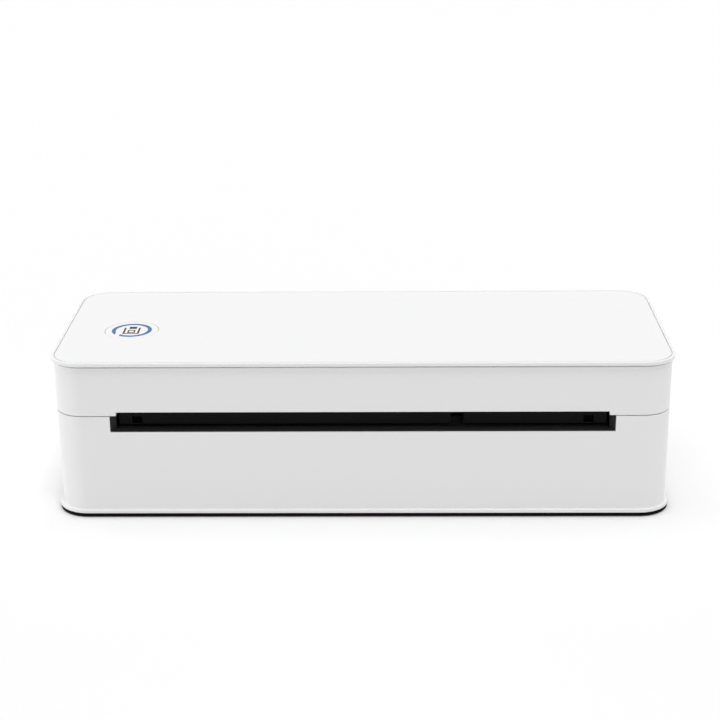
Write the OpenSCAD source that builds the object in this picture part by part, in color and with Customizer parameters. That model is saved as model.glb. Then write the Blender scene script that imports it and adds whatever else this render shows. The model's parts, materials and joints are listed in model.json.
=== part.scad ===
// A4 portable thermal printer with a rear hinged cover.
// X runs across the paper, the front is towards -Y, and the feet stand on Z = 0.
// The origin lies under the middle of the printer.

/* [Shell] */
// Width of the white shell, side to side
shell_w = 271; // [269:0.5:290]
// Depth of the white shell, front to back
shell_d = 100.6; // [100:0.1:108]
// Overall height, from the table to the top panel
total_h = 72.8; // [72.2:0.1:80]
// Radius of the shell's corners, seen from above
corner_r = 13; // [10:0.5:13]
// Wall thickness of the two white shells
wall = 2.4; // [2:0.1:2.6]
// Height of the parting line above the table
parting_z = 47.8; // [47.5:0.1:48.8]
// Gap that the closed cover leaves at the parting line
parting_gap = 0.4; // [0.3:0.05:0.5]
// Height of the white shell's lower edge, on the bottom cover
base_z = 2.0; // [1.9:0.1:2.2]
// Distance that the foot flange stands out of the shell
flange_out = 1.6; // [1.2:0.1:2]
// Height of the foot flange
flange_h = 1.5; // [1:0.1:2]

/* [Top plate] */
// Thickness of the overhanging top plate
plate_h = 1.6; // [1.4:0.1:2]
// Distance that the top plate stands out of the shell
plate_out = 1.2; // [0.8:0.1:1.5]
// Height of the shadow gap under the top plate
shadow_gap = 0.9; // [0.4:0.1:1]
// Depth of the shadow gap, in from the shell
shadow_inset = 0.6; // [0.4:0.1:1]
// Width of the plate's rim round the inlaid panel
rim_w = 1.3; // [1:0.1:2]
// Width of the groove round the inlaid panel
groove_w = 0.4; // [0.3:0.05:0.6]
// Thickness of the inlaid panel
panel_t = 0.8; // [0.6:0.1:1]
// Thickness of the cover's roof
roof_t = 1.9; // [1.8:0.1:2.4]

/* [Paper path] */
// Width of the widest sheet
sheet_w = 210; // [206:1:212]
// Play beside the sheet in the cover's slot cut, each side
slot_play = 2.2; // [1.5:0.1:2.5]
// Extra width of the base's slot cut, each side
slot_step = 3.3; // [3:0.1:3.6]
// Height of the slot's lower edge
slot_low_z = 40.4; // [40:0.1:40.6]
// Height of the slot's upper edge, in the cover
slot_top_z = 49.75; // [49.2:0.05:50.5]
// Rise of the slot bezel's lower bevel
bevel_rise = 1.4; // [1:0.1:1.6]
// Width of the slot bezel's side bevels
bevel_side = 2.5; // [2:0.1:2.8]
// Depth of the slot bezel's bevels
bevel_depth = 2.5; // [2:0.1:3]
// Height of the gap that the sheet leaves by
exit_gap = 0.6; // [0.5:0.1:1.2]
// Height of the gap that the sheet enters by
entry_gap = 3.7; // [3:0.1:4]
// Thickness of the paper bed
bed_t = 2.0; // [1.6:0.1:2.4]

/* [Platen and head] */
// Radius of the platen roller's rubber
platen_r = 8; // [7:0.1:8.4]
// Place of the platen's axis, front to back
platen_y = -26; // [-26.5:0.1:-25.5]
// Height of the platen's top above the paper bed
platen_rise = 0.2; // [0.1:0.05:0.3]
// Extra length of the rubber beyond the sheet, each side
rubber_over = 3; // [1:0.5:4]
// Radius of the platen's steel shaft
shaft_r = 3; // [2.5:0.1:3.2]
// Gap between the head and the platen, for the sheet
nip_gap = 0.15; // [0.1:0.01:0.2]
// Thickness of the head's ceramic strip
ceramic_t = 1.0; // [0.8:0.1:1.2]
// Thickness of the head's aluminium heat sink
sink_t = 3.0; // [2.5:0.1:3.3]
// Thickness of the head's sheet steel bracket
bracket_t = 1.2; // [1:0.1:1.5]
// Radius of the head's pivot pins
head_pin_r = 1.5; // [1.2:0.1:1.8]
// Wire thickness of the head springs
spring_wire = 0.8; // [0.6:0.1:1]
// Number of turns in a head spring
spring_turns = 5; // [4:1:6]

/* [Gears] */
// Tooth module of the drive gears
gear_m = 0.8; // [0.74:0.01:0.82]
// Face width of a drive gear
gear_w = 3; // [2.5:0.1:3]
// Teeth of the motor pinion
pinion_teeth = 12; // [11:1:13]
// Teeth of the idler's large gear
idler_big_teeth = 32; // [30:1:33]
// Teeth of the idler's small gear
idler_small_teeth = 14; // [13:1:15]
// Teeth of the platen gear
platen_teeth = 26; // [24:1:26]
// Direction from the platen to the idler, in degrees
idler_angle = -45; // [-50:1:-42]
// Direction from the idler to the motor, in degrees
motor_angle = -10; // [-14:1:-6]
// Radius of the motor's can
motor_r = 15; // [12:0.5:15.5]
// Length of the motor's can
motor_l = 18; // [14:1:22]

/* [Hinge] */
// Distance from the rear face in to the hinge axis
hinge_inset = 1.3; // [1.2:0.05:1.5]
// Radius of the hinge pins
hinge_pin_r = 1.0; // [0.8:0.1:1.2]
// Radius of the hinge knuckles
knuckle_r = 2.5; // [2.2:0.1:2.6]
// Length of a hinge knuckle
knuckle_l = 3.8; // [3:0.1:3.8]

/* [Latch] */
// Place of the latch shaft, front to back
latch_y = -37; // [-37.5:0.1:-36.5]
// Height of the latch shaft
latch_z = 25; // [24.5:0.1:25.5]
// Radius of the latch shaft
latch_r = 2; // [1.6:0.1:2.2]
// Thickness of a latch lever
lever_t = 3; // [2.5:0.1:3]
// Height of the keeper pins that the hooks catch
keeper_z = 53; // [52:0.1:54]
// Radius of the keeper pins
keeper_r = 1.5; // [1.2:0.1:1.6]
// Width of a release tab
tab_w = 8; // [6:0.5:9]
// Height of a release tab
tab_h = 10; // [8:0.5:10.5]

/* [Paper guides] */
// Tooth module of the guides' racks and pinion
rack_m = 1; // [0.9:0.05:1.1]
// Teeth of the guides' pinion
guide_teeth = 14; // [12:2:16]
// Place of the guides' pinion, front to back
guide_y = 24; // [23:0.5:25]
// Distance that each guide slides inwards
guide_travel = 50; // [30:1:60]
// Length of a guide's fence
fence_l = 30; // [20:1:32]
// Thickness of a guide's fence
fence_t = 2; // [1.5:0.1:2.2]

/* [Button] */
// Place of the button's middle, left of the printer's middle
button_x = -105.6; // [-107:0.1:-104]
// Place of the button's middle, front to back
button_y = -6.8; // [-8:0.1:-6]
// Radius of the button cap
button_r = 12.1; // [11:0.1:12.5]
// Outer radius of the light ring
ring_r = 9.1; // [8:0.1:9.5]
// Width of the light ring
ring_w = 1.8; // [1.4:0.1:2.2]
// Distance that the button travels
button_travel = 0.8; // [0.5:0.1:0.9]

/* [Power and data] */
// Length of the main board
board_l = 180; // [179:1:184]
// Depth of the main board
board_d = 34; // [32:1:44]
// Thickness of the circuit boards
board_t = 1.6; // [1.2:0.1:1.8]
// Place of the data socket, right of the middle
usb_x = 20; // [16:1:24]
// Place of the power jack, right of the middle
jack_x = 45; // [42:1:48]
// Radius of the power jack's bore
jack_r = 3.1; // [2.8:0.1:3.3]
// Place of the power rocker, right of the middle
rocker_x = 82; // [78:1:83]
// Tilt of the rocker to either side, in degrees
rocker_tilt = 8; // [6:1:9]
// Radius of a battery cell
cell_r = 9.1; // [8.5:0.1:9.15]
// Length of a battery cell
cell_l = 65; // [60:0.5:66]

/* [Feet and screws] */
// Radius of a rubber foot
foot_r = 7; // [6:0.5:8]
// Thickness of a rubber foot
foot_t = 1.2; // [1:0.1:1.4]
// Height of the bottom cover above the table
floor_gap = 0.4; // [0.3:0.05:0.5]
// Radius of a screw's thread
screw_r = 1.2; // [1:0.1:1.4]
// Radius of a screw's head
screw_head_r = 2.7; // [2.4:0.1:2.8]

/* [Fits] */
// Radial clearance of a turning fit
run_fit = 0.05; // [0.03:0.01:0.08]
// Clearance between pieces that are fixed together
seat_gap = 0.05; // [0.03:0.01:0.08]
// Clearance between pieces that move past each other
move_gap = 0.3; // [0.25:0.05:0.35]

/* [Hidden] */

white = [0.94, 0.94, 0.94];
pale_grey = [0.86, 0.86, 0.87];
black = [0.07, 0.07, 0.075];
steel = [0.72, 0.73, 0.75];
board_green = [0.10, 0.36, 0.22];
gear_cream = [0.90, 0.88, 0.80];
blue = [0.20, 0.45, 0.78];
dark_grey = [0.30, 0.30, 0.32];
ceramic_brown = [0.55, 0.45, 0.38];
round_fn = 96;
pin_fn = 48;
tiny = 0.01;
over = 1;
far = 400;
tooth_angle = 25;
tooth_play = 0.08;
flank_steps = 3;
root_share = 1.2;

// Shell heights and inner faces
half_w = shell_w / 2;
half_d = shell_d / 2;
lower_top = parting_z - parting_gap / 2;
upper_low = parting_z + parting_gap / 2;
plate_low = total_h - plate_h;
shell_top = plate_low - shadow_gap;
roof_z = shell_top - roof_t;
inner_x = half_w - wall;
inner_y = half_d - wall;

// Slots and paper path
cover_slot_x = sheet_w / 2 + slot_play;
base_slot_x = cover_slot_x + slot_step;
bezel_fit = 0.2;
bezel_sink = 0.3;
bezel_x = base_slot_x - bezel_fit;
bezel_in_x = base_slot_x - bevel_side;
bezel_lip = 3;
bezel_flange_y = inner_y - 0.1;
bezel_flange_t = 1.5;
bezel_top = lower_top - 0.1;
path_z = slot_low_z + bevel_rise;
bed_low = path_z - bed_t;
nose_y = bezel_flange_y - bezel_flange_t - 0.6;
nose_x = bezel_in_x - 1;
nose_t = 2;
nose_side_rise = 0.5;
tail_y = nose_y - 1.6;
tail_low = path_z + entry_gap;
tail_top_rise = 5;
notch_x = 41.5;
notch_w = 5.7;
window_in = 3.7;
window_w = 4.4;
window_h = 3.1;
window_deep = 1.2;
window_lift = 0.6;

// Chassis
chassis_y = bezel_flange_y - bezel_flange_t - 0.2;
cheek_in = base_slot_x + 6;
cheek_t = 3;
cheek_out = cheek_in + cheek_t;
cheek_top = path_z + 4.6;
chassis_wall = 1.8;
frame_low = cheek_top + 0.6;
frame_t = 2;
frame_x = cheek_out + 2.5;
chassis_post_x = cheek_in - 3;
chassis_post_in_y = 7.9;
chassis_post_y = inner_y - chassis_post_in_y;
chassis_post_h = 16;
rear_web_gap = 2;
web_drop = 1;

// Platen and drive gears
platen_top = path_z + platen_rise;
platen_z = platen_top - platen_r;
rubber_x = sheet_w / 2 + rubber_over;
bed_clear = 1.2;
bush_r = shaft_r + 2;
bush_flange_r = shaft_r + 3.5;
bush_flange_t = 1.2;
plane_gap = 0.5;
plane_a = cheek_out + plane_gap;
plane_b = plane_a + gear_w + plane_gap;
platen_pitch = gear_m * platen_teeth / 2;
small_pitch = gear_m * idler_small_teeth / 2;
big_pitch = gear_m * idler_big_teeth / 2;
pinion_pitch = gear_m * pinion_teeth / 2;
idler_y = platen_y + (platen_pitch + small_pitch) * cos(idler_angle);
idler_z = platen_z + (platen_pitch + small_pitch) * sin(idler_angle);
motor_y = idler_y + (big_pitch + pinion_pitch) * cos(motor_angle);
motor_z = idler_z + (big_pitch + pinion_pitch) * sin(motor_angle);
idler_pin_r = 1.5;
motor_shaft_r = 1.5;
motor_boss_r = 4.5;
motor_boss_l = 1.5;
motor_rim_t = 1;
motor_rim_half = 7;
motor_screw_reach = motor_r * 0.72;
motor_screw_head_r = 2.1;
motor_screw_head_h = 1.2;
motor_screw_bite = 4;
motor_heights = [motor_z - motor_screw_reach, motor_z + motor_screw_reach];
platen_shaft_end = 0.2;
pinion_hub = 1;

// Print head
head_x = sheet_w / 2 + 2;
ceramic_low = platen_top + nip_gap;
ceramic_top = ceramic_low + ceramic_t;
sink_top = ceramic_top + sink_t;
bracket_top = sink_top + bracket_t;
ceramic_half = 6;
head_front = platen_y - ceramic_half;
head_board_y = platen_y + ceramic_half + 0.3;
head_board_d = 10;
head_board_t = 0.8;
head_rear = head_board_y + head_board_d;
head_pivot_y = head_rear + 3.7;
head_pivot_z = bracket_top + 2.1;
pocket_x = base_slot_x + 2.5;
pocket_wall = 3;
pocket_back = head_pivot_y + 4;
pocket_rise = 7.1;
pocket_roof = bracket_top + pocket_rise;
ear_x = pocket_x - 1.2;
ear_r = 3;
ear_back = 2;
bracket_lip = 1;
head_board_in = 5;
rib_n = 4;
rib_pitch = 5.4;
rib_groove = 2;
rib_floor = 1.2;
head_pin_in = 1.6;
spring_r = 2.6;
spring_places = [-85, -30, 30, 85];

// Hinge
axis_y = half_d - hinge_inset;
axis_z = parting_z;
knuckle_gap = 0.3;
hinge_x0 = bezel_x + bezel_lip + 1.2;
hinge_x1 = hinge_x0 + knuckle_l + knuckle_gap;
hinge_x2 = hinge_x1 + knuckle_l + knuckle_gap;
hinge_x3 = hinge_x2 + knuckle_l;
groove_r = hinge_inset + 0.5;
groove_end = 2;
knuckle_skin = 0.2;

// Latch
lever_out = inner_x - 2.1;
lever_in = lever_out - lever_t;
arm_y = latch_y - 1;
arm_w = 4.5;
arm_back = arm_y + arm_w;
keeper_y = arm_back + keeper_r + 3;
hook_low = keeper_z + keeper_r + move_gap;
hook_tip = keeper_y + 0.8;
hook_h = 5;
boss_r = latch_r + 2;
tab_y = arm_back + 1.5;
tab_rise = 8;
tab_low = latch_z + tab_rise;
tab_sink = 0.3;
window_front = 3;
window_rise = 2.3;
window_play = 0.6;
latch_spring_wire = 0.7;
latch_spring_turns = 6;
latch_spring_l = 6.7;
latch_room_r = latch_r + 2 * move_gap + latch_spring_wire;
hook_lip = 0.8;
hook_nose = 1;
keeper_boss = 2;
keeper_end = 0.5;
grip_n = 3;
grip_cut = 0.8;
grip_deep = 0.6;

// Paper guides
guide_pitch = rack_m * guide_teeth / 2;
rack_pitch = PI * rack_m;
bar_back = 4;
bar_h = 2.8;
bar_top = bed_low - move_gap;
bar_low = bar_top - bar_h;
neck_t = 2;
neck_l = 4;
neck_back = 2.6;
fence_in = sheet_w / 2 + 0.5;
fence_low = path_z + move_gap;
fence_top = cheek_top;
fence_y = guide_y - fence_l / 2;
guide_post_r = 2.2;
guide_post_end = 0.1;
guide_screw_bite = 0.8;
guide_pilot_roof = 0.6;
guide_foot = 1;
slot_spare = 2;
rack_reach = 8;

// Button
button_hole_r = button_r + 0.15;
button_flange_r = button_hole_r + 1.4;
button_flange_t = 1.2;
button_flange_z = roof_z - move_gap - button_flange_t;
button_skin = 1.5;
button_wall = 1.5;
stem_r = 2;
stem_low = button_flange_z - 2;
key_top = stem_low - button_travel - 0.1;
key_h = 3.4;
key_size = 6;
button_board_z = key_top - key_h - board_t;
button_post_x = button_flange_r + 4.2;
button_board_margin = 4.2;
button_board_w = 2 * (button_post_x + button_board_margin);
button_board_d = 16;
inlay_t = 0.4;
icon_w = 7;
icon_h = 9;
icon_line = 0.9;
icon_bars = [-1.4, 1.4];
icon_bar_in = 0.4;
ring_gap_from = 219;
ring_gap_to = 233;
stud_r = 1.6;
stud_h = 0.8;

// Boards, sockets, switch and cells
board_low = base_z + 6;
board_top = board_low + board_t;
board_x0 = -80;
board_in = 4.9;
board_y1 = inner_y - board_in;
board_y0 = board_y1 - board_d;
board_hole_in = 4;
standoff_r = 3;
socket_back = half_d - 0.4;
usb_w = 9.2;
usb_h = 3.4;
usb_l = 11;
usb_wall = 0.4;
usb_deep = 6.5;
usb_tongue = 3.4;
usb_tongue_t = 0.7;
jack_w = 9;
jack_h = 11;
jack_l = 14;
jack_deep = 9;
jack_pin_r = 1;
switch_in = 6;
jack_z = board_top + jack_h / 2;
switch_w = 19;
switch_h = 13;
switch_z = board_top + switch_h / 2;
rocker_w = 15;
rocker_h = 8.4;
rocker_y = half_d - 2.8;
rocker_deep = 4;
rocker_edge = 2.4;
rocker_dip = 1.7;
rocker_side = 0.8;
rocker_foot = 3;
rocker_room = 1;
trunnion_r = 1.2;
trunnion_l = 1;
cell_gap = 0.4;
holder_t = 1.2;
holder_floor = 0.8;
holder_h = 12;
holder_end = 0.6;
cell_z = base_z + holder_floor + cell_r;
cell_in = 5.8;
cell_row_y0 = -inner_y + cell_in + cell_r;
cell_row_y1 = cell_row_y0 + 2 * cell_r + cell_gap;

// Screws and posts
case_post_in_x = 8.6;
case_post_in_y = 8.4;
case_post_x = inner_x - case_post_in_x;
case_post_y = inner_y - case_post_in_y;
post_r = 3.6;
cup_h = 2;
cup_r = screw_head_r + 1.5;
case_post_h = 8;
head_h = 1.8;
head_recess = 2.2;
pilot_r = screw_r + seat_gap;
hole_r = screw_r + 0.4;
cover_post_x = pocket_x - 1.5;
cover_post_rows = [14, 38];
front_post_x = 80;
front_post_in = 4.6;
front_post_y = -nose_y + nose_t + front_post_in;
lip_t = 1.5;
lip_h = 1.8;
rib_half = 1;
edge_step = 0.2;
foot_in_x = 40;
foot_in_y = 14;
foot_x = half_w - foot_in_x;
foot_y = half_d - foot_in_y;
vent_n = 14;
vent_x = -66;
vent_pitch = 11;
vent_w = 2.5;
vent_l = 12;
vent_rows = [10, 28];
screw_bite = 6;
front_screw_bite = min(screw_bite, roof_z - over - pocket_roof - frame_t);
board_screw_bite = 4.5;

// Paper sensors
sensor_y = pocket_back + 5;
eye_half_x = 3.8;
eye_half_y = 2.3;
eye_play = 0.2;
sensor_half_x = 7;
sensor_front = 2.9;
sensor_back = 4;
sensor_t = 3;

// Parts on the main board: place from the middle and from the board's front edge, then the sizes
chips = [[-30, 8, 14, 14, 1.6], [-58, 16, 8, 8, 1.2], [60, 4, 8, 6, 1.2], [-6, 8, 10, 10, 4]];
plugs = [[-79, 10, 6, 14, 7], [30, 1, 22, 5, 6], [10, 1, 14, 5, 6]];
capacitors = [[-40, 27], [-31, 27], [-22, 27]];
capacitor_r = 3.5;
capacitor_h = 9;

case_places = [for (x = [-1, 1], y = [-1, 1]) [x * case_post_x, y * case_post_y]];
chassis_places = [for (x = [-1, 1], y = [-1, 1]) [x * chassis_post_x, y * chassis_post_y]];
board_places = [for (x = [board_x0 + board_hole_in, board_x0 + board_l - board_hole_in],
                     y = [board_y0 + board_hole_in, board_y1 - board_hole_in]) [x, y]];
cover_places = [for (x = [-1, 1], y = cover_post_rows) [x * cover_post_x, y]];
front_places = [for (x = [-1, 1]) [x * front_post_x, front_post_y]];
button_places = [for (x = [-1, 1]) [button_x + x * button_post_x, button_y]];

// Basic shapes

// Block between two corners
module block(x0, x1, y0, y1, z0, z1) {
  translate([x0, y0, z0]) cube([x1 - x0, y1 - y0, z1 - z0]);
}

// Rectangle with rounded corners, centred
module rounded(w, d, r) {
  square([w - 2 * r, d], center = true);
  square([w, d - 2 * r], center = true);
  for (x = [-1, 1], y = [-1, 1]) {
    translate([x * (w / 2 - r), y * (d / 2 - r)]) circle(r = r, $fn = round_fn);
  }
}

// Slab with the shell's outline moved out by a distance, between two heights
module outline_slab(out, z0, z1) {
  translate([0, 0, z0]) linear_extrude(z1 - z0) rounded(shell_w + 2 * out, shell_d + 2 * out, corner_r + out);
}

// Upright cylinder between two heights
module post(x, y, r, z0, z1, fn = pin_fn) {
  translate([x, y, z0]) cylinder(r = r, h = z1 - z0, $fn = fn);
}

// Cylinder along Y between two places
module rod_y(x, z, r, y0, y1) {
  translate([x, y1, z]) rotate([90, 0, 0]) cylinder(r = r, h = y1 - y0, $fn = pin_fn);
}

// Cylinder along X between two places
module rod(y, z, r, x0, x1, fn = pin_fn) {
  translate([x0, y, z]) rotate([0, 90, 0]) cylinder(r = r, h = x1 - x0, $fn = fn);
}

// The same shape on the left and on the right
module both_sides() {
  children();
  mirror([1, 0, 0]) children();
}

// Flat shape drawn with Y across and Z up, pushed along X
module plate_x(x0, x1) {
  translate([x0, 0, 0]) rotate([90, 0, 90]) linear_extrude(x1 - x0) children();
}

// Pan head screw pointing up, with its head's underside at z
module screw_up(x, y, z, length) {
  color(steel) {
    post(x, y, screw_head_r, z - head_h, z);
    post(x, y, screw_r, z - tiny, z + length);
  }
}

// Pan head screw pointing down, with its head's underside at z
module screw_down(x, y, z, length) {
  color(steel) {
    post(x, y, screw_head_r, z, z + head_h);
    post(x, y, screw_r, z - length, z + tiny);
  }
}

// Spring of round wire along Z, from z = 0 to z = h
module coil(r, wire, turns, h) {
  sides = 6;
  steps = 10;
  rings = turns * steps;
  rise = (h - wire) / rings;
  points = [for (i = [0:rings], k = [0:sides - 1])
    let (a = 360 * i / steps, b = 360 * k / sides, reach = r + wire / 2 * cos(b))
    [reach * cos(a), reach * sin(a), wire / 2 + rise * i + wire / 2 * sin(b)]];
  walls = [for (i = [0:rings - 1], k = [0:sides - 1])
    let (a = i * sides + k, b = i * sides + (k + 1) % sides)
    each [[a, a + sides, b], [b, a + sides, b + sides]]];
  first = [for (k = [1:sides - 2]) [0, k, k + 1]];
  last = [for (k = [1:sides - 2]) [rings * sides, rings * sides + k + 1, rings * sides + k]];
  polyhedron(points, concat(walls, first, last));
}

// Gear teeth

// Point on an involute that leaves a base circle, at roll angle t in radians
function involute(base, t) = let (d = t * 180 / PI)
  [base * (cos(d) + t * sin(d)), base * (sin(d) - t * cos(d))];

// A point turned about the origin
function turned(p, a) = [p[0] * cos(a) - p[1] * sin(a), p[0] * sin(a) + p[1] * cos(a)];

// One flank of a tooth from root to tip, with the tooth's middle on the X axis
function flank(m, teeth, side) =
  let (
    pitch = m * teeth / 2,
    base = pitch * cos(tooth_angle),
    tip = pitch + m,
    root = pitch - root_share * m,
    low = max(base, root),
    turn0 = sqrt(pow(low / base, 2) - 1),
    turn1 = sqrt(pow(tip / base, 2) - 1),
    lean = tan(tooth_angle) * 180 / PI - tooth_angle,
    half = 90 / teeth - tooth_play / pitch * 90 / PI,
    curve = [for (i = [0:flank_steps])
      let (p = involute(base, turn0 + (turn1 - turn0) * i / flank_steps))
      turned([p[0], p[1]], -half - lean)],
    foot = turned([root, 0], -half - lean)
  )
  [for (p = root < base - tiny ? concat([foot], curve) : curve) [p[0], side * p[1]]];

// Outline of a gear whose first tooth points at an angle
module gear_outline(m, teeth, phase) {
  lower = flank(m, teeth, 1);
  upper = flank(m, teeth, -1);
  last = len(upper) - 1;
  polygon([for (n = [0:teeth - 1])
    let (a = phase + n * 360 / teeth)
    each concat([for (p = lower) turned(p, a)], [for (i = [last:-1:0]) turned(upper[i], a)])]);
}

// Gear whose axis lies along X
module gear_x(teeth, phase, y, z, x0, x1) {
  plate_x(x0, x1) translate([y, z]) gear_outline(gear_m, teeth, phase);
}

// Straight rack along X with its pitch line on Y = 0 and its teeth towards +Y
module rack_outline(x0, x1, back) {
  half = rack_pitch / 4 - tooth_play / 2;
  lean = tan(tooth_angle) * rack_m;
  first = ceil((x0 + half + lean) / rack_pitch - 0.5);
  last = floor((x1 - half - lean) / rack_pitch - 0.5);
  teeth = [for (k = [first:last])
    let (c = (k + 0.5) * rack_pitch, root = root_share * rack_m, slope = tan(tooth_angle))
    each [[c - half - root * slope, -root], [c - half + lean, rack_m],
          [c + half - lean, rack_m], [c + half + root * slope, -root]]];
  polygon(concat([[x0, -back], [x0, -root_share * rack_m]], teeth, [[x1, -root_share * rack_m], [x1, -back]]));
}

// Base

module lower_shell() {
  color(white) {
    difference() {
      union() {
        outline_slab(0, base_z, lower_top);
        outline_slab(flange_out, base_z, base_z + flange_h);
      }
      outline_slab(-wall, base_z - over, lower_top + over);
      block(-base_slot_x, base_slot_x, -far, far, slot_low_z, lower_top + over);
      both_sides() {
        rod(axis_y, axis_z, groove_r, base_slot_x - over, hinge_x3 + groove_end);
        rod(axis_y, axis_z, knuckle_r + move_gap, hinge_x1 - knuckle_gap, hinge_x2);
        block(inner_x - over, half_w + over, tab_y - window_front, tab_y + tab_w + window_play,
              tab_low - window_play, tab_low + tab_h + window_rise);
      }
      block(usb_x - usb_w / 2 - bezel_fit, usb_x + usb_w / 2 + bezel_fit, 0, far,
            board_top - bezel_fit, board_top + usb_h + bezel_fit);
      block(jack_x - jack_w / 2 - bezel_fit, jack_x + jack_w / 2 + bezel_fit, 0, far,
            board_top - bezel_fit, board_top + jack_h + bezel_fit);
      block(rocker_x - switch_w / 2 - bezel_fit, rocker_x + switch_w / 2 + bezel_fit, 0, far,
            switch_z - switch_h / 2 - bezel_fit, switch_z + switch_h / 2 + bezel_fit);
    }
    both_sides() {
      base_knuckle(hinge_x0, hinge_x0 + knuckle_l);
      base_knuckle(hinge_x2, hinge_x3);
    }
    for (p = case_places) {
      rib_end = sign(p[0]) * (half_w - wall / 2);
      difference() {
        union() {
          post(p[0], p[1], post_r, base_z + cup_h, base_z + cup_h + case_post_h);
          block(min(p[0], rib_end), max(p[0], rib_end), p[1] - rib_half, p[1] + rib_half,
                base_z + cup_h, base_z + cup_h + case_post_h);
        }
        post(p[0], p[1], pilot_r, base_z + cup_h - over, base_z + cup_h + case_post_h + over);
      }
    }
  }
}

// Knuckle of the base with its pin hole and the foot that ties it to the wall
module base_knuckle(x0, x1) {
  difference() {
    union() {
      rod(axis_y, axis_z, knuckle_r, x0, x1);
      block(x0, x1, inner_y + knuckle_skin, half_d - knuckle_skin,
            axis_z - 2 * knuckle_r, axis_z - hinge_pin_r);
    }
    rod(axis_y, axis_z, hinge_pin_r + seat_gap, x0 - over, x1 + over);
  }
}

module bottom_cover() {
  color(black) difference() {
    union() {
      outline_slab(flange_out - edge_step, floor_gap, base_z);
      difference() {
        outline_slab(-wall - bezel_fit, base_z - tiny, base_z + lip_h);
        outline_slab(-wall - bezel_fit - lip_t, base_z - over, base_z + lip_h + over);
      }
      for (p = concat(case_places, chassis_places)) post(p[0], p[1], cup_r, base_z - tiny, base_z + cup_h);
      for (p = board_places) post(p[0], p[1], standoff_r, base_z - tiny, board_low);
    }
    for (p = concat(case_places, chassis_places)) {
      post(p[0], p[1], screw_head_r + move_gap, -over, floor_gap + head_recess);
      post(p[0], p[1], hole_r, 0, base_z + cup_h + over);
    }
    for (p = board_places) post(p[0], p[1], pilot_r, base_z, board_low + over);
    for (x = [-foot_x, foot_x], y = [-foot_y, foot_y]) post(x, y, foot_r + seat_gap, 0, foot_t);
    for (n = [0:vent_n - 1], y = vent_rows) {
      block(vent_x + n * vent_pitch, vent_x + n * vent_pitch + vent_w, y, y + vent_l, 0, base_z + over);
    }
  }
}

module rubber_feet() {
  color(black) for (x = [-foot_x, foot_x], y = [-foot_y, foot_y]) post(x, y, foot_r, 0, foot_t);
}

module chassis() {
  rack_y0 = guide_y - guide_pitch - neck_back;
  rack_y1 = guide_y + guide_pitch + neck_back;
  color(black) difference() {
    union() {
      block(-cheek_out, cheek_out, -chassis_y, platen_y - platen_r - bed_clear, bed_low, path_z);
      block(-cheek_out, cheek_out, platen_y + platen_r + bed_clear, chassis_y, bed_low, path_z);
      both_sides() block(cheek_in, cheek_out, -chassis_y, chassis_y, base_z, cheek_top);
      block(-cheek_out, cheek_out, -chassis_y, -chassis_y + chassis_wall, latch_z, path_z - web_drop);
      block(-cheek_out, cheek_out, chassis_y - chassis_wall, chassis_y,
            switch_z + switch_h / 2 + rear_web_gap, path_z - web_drop);
      for (p = chassis_places) post(p[0], p[1], post_r, base_z + cup_h, base_z + cup_h + chassis_post_h);
      post(0, guide_y, guide_post_r, bar_low - guide_post_end, bed_low + tiny);
    }
    for (p = chassis_places) {
      post(p[0], p[1], pilot_r, base_z, base_z + cup_h + chassis_post_h - post_r);
      post(p[0], p[1], cup_r + bezel_fit, base_z - over, base_z + cup_h);
    }
    both_sides() {
      rod(platen_y, platen_z, bush_r + seat_gap, cheek_in - over, cheek_out + over);
      rod(latch_y, latch_z, latch_r + run_fit, cheek_in - over, cheek_out + over);
      rod(latch_y, latch_z, latch_room_r, cheek_in - latch_spring_l - move_gap, cheek_in);
    }
    rod(latch_y, latch_z, latch_r + move_gap, -cheek_in, cheek_in);
    rod(idler_y, idler_z, idler_pin_r + seat_gap, -cheek_out - over, -cheek_in + over);
    rod(motor_y, motor_z, motor_boss_r + seat_gap, -cheek_out - over, -cheek_in + over);
    for (z = motor_heights) rod(motor_y, z, hole_r, -cheek_out - over, -cheek_in + over);
    block(-fence_in - neck_l - slot_spare, -fence_in + neck_l + guide_travel,
          rack_y0 - neck_t / 2 - move_gap, rack_y0 + neck_t / 2 + move_gap, bed_low - over, path_z + over);
    block(fence_in - neck_l - guide_travel, fence_in + neck_l + slot_spare,
          rack_y1 - neck_t / 2 - move_gap, rack_y1 + neck_t / 2 + move_gap, bed_low - over, path_z + over);
    post(0, guide_y, pilot_r, bar_low - over, path_z - guide_pilot_roof);
    sensor_eye(eye_play, bed_low - over, path_z + over);
  }
}

// Eye of a paper sensor, or the hole that it looks through, grown by a clearance
module sensor_eye(grow, z0, z1) {
  block(notch_x - eye_half_x - grow, notch_x + eye_half_x + grow,
        sensor_y - eye_half_y - grow, sensor_y + eye_half_y + grow, z0, z1);
}

// Housing of a paper sensor
module sensor_case(z0, z1) {
  block(notch_x - sensor_half_x, notch_x + sensor_half_x,
        sensor_y - sensor_front, sensor_y + sensor_back, z0, z1);
}

// Bevelled frame of a paper slot, drawn for the front
module slot_bezel() {
  front = half_d - bezel_sink;
  back = bezel_flange_y - bezel_flange_t;
  difference() {
    union() {
      block(-bezel_x, bezel_x, -front, -back, slot_low_z + bezel_fit, bezel_top);
      block(-bezel_x - bezel_lip, bezel_x + bezel_lip, -bezel_flange_y, -back,
            slot_low_z - bezel_lip, bezel_top);
    }
    hull() {
      block(-bezel_x - tiny, bezel_x + tiny, -front - over, -front,
            slot_low_z + bezel_fit - tiny, parting_z + over);
      block(-bezel_in_x, bezel_in_x, -front + bevel_depth, -front + bevel_depth + tiny,
            path_z, parting_z + over);
    }
    block(-bezel_in_x, bezel_in_x, -front, 0, path_z, parting_z + over);
  }
}

module front_bezel() {
  color(black) slot_bezel();
}

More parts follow.
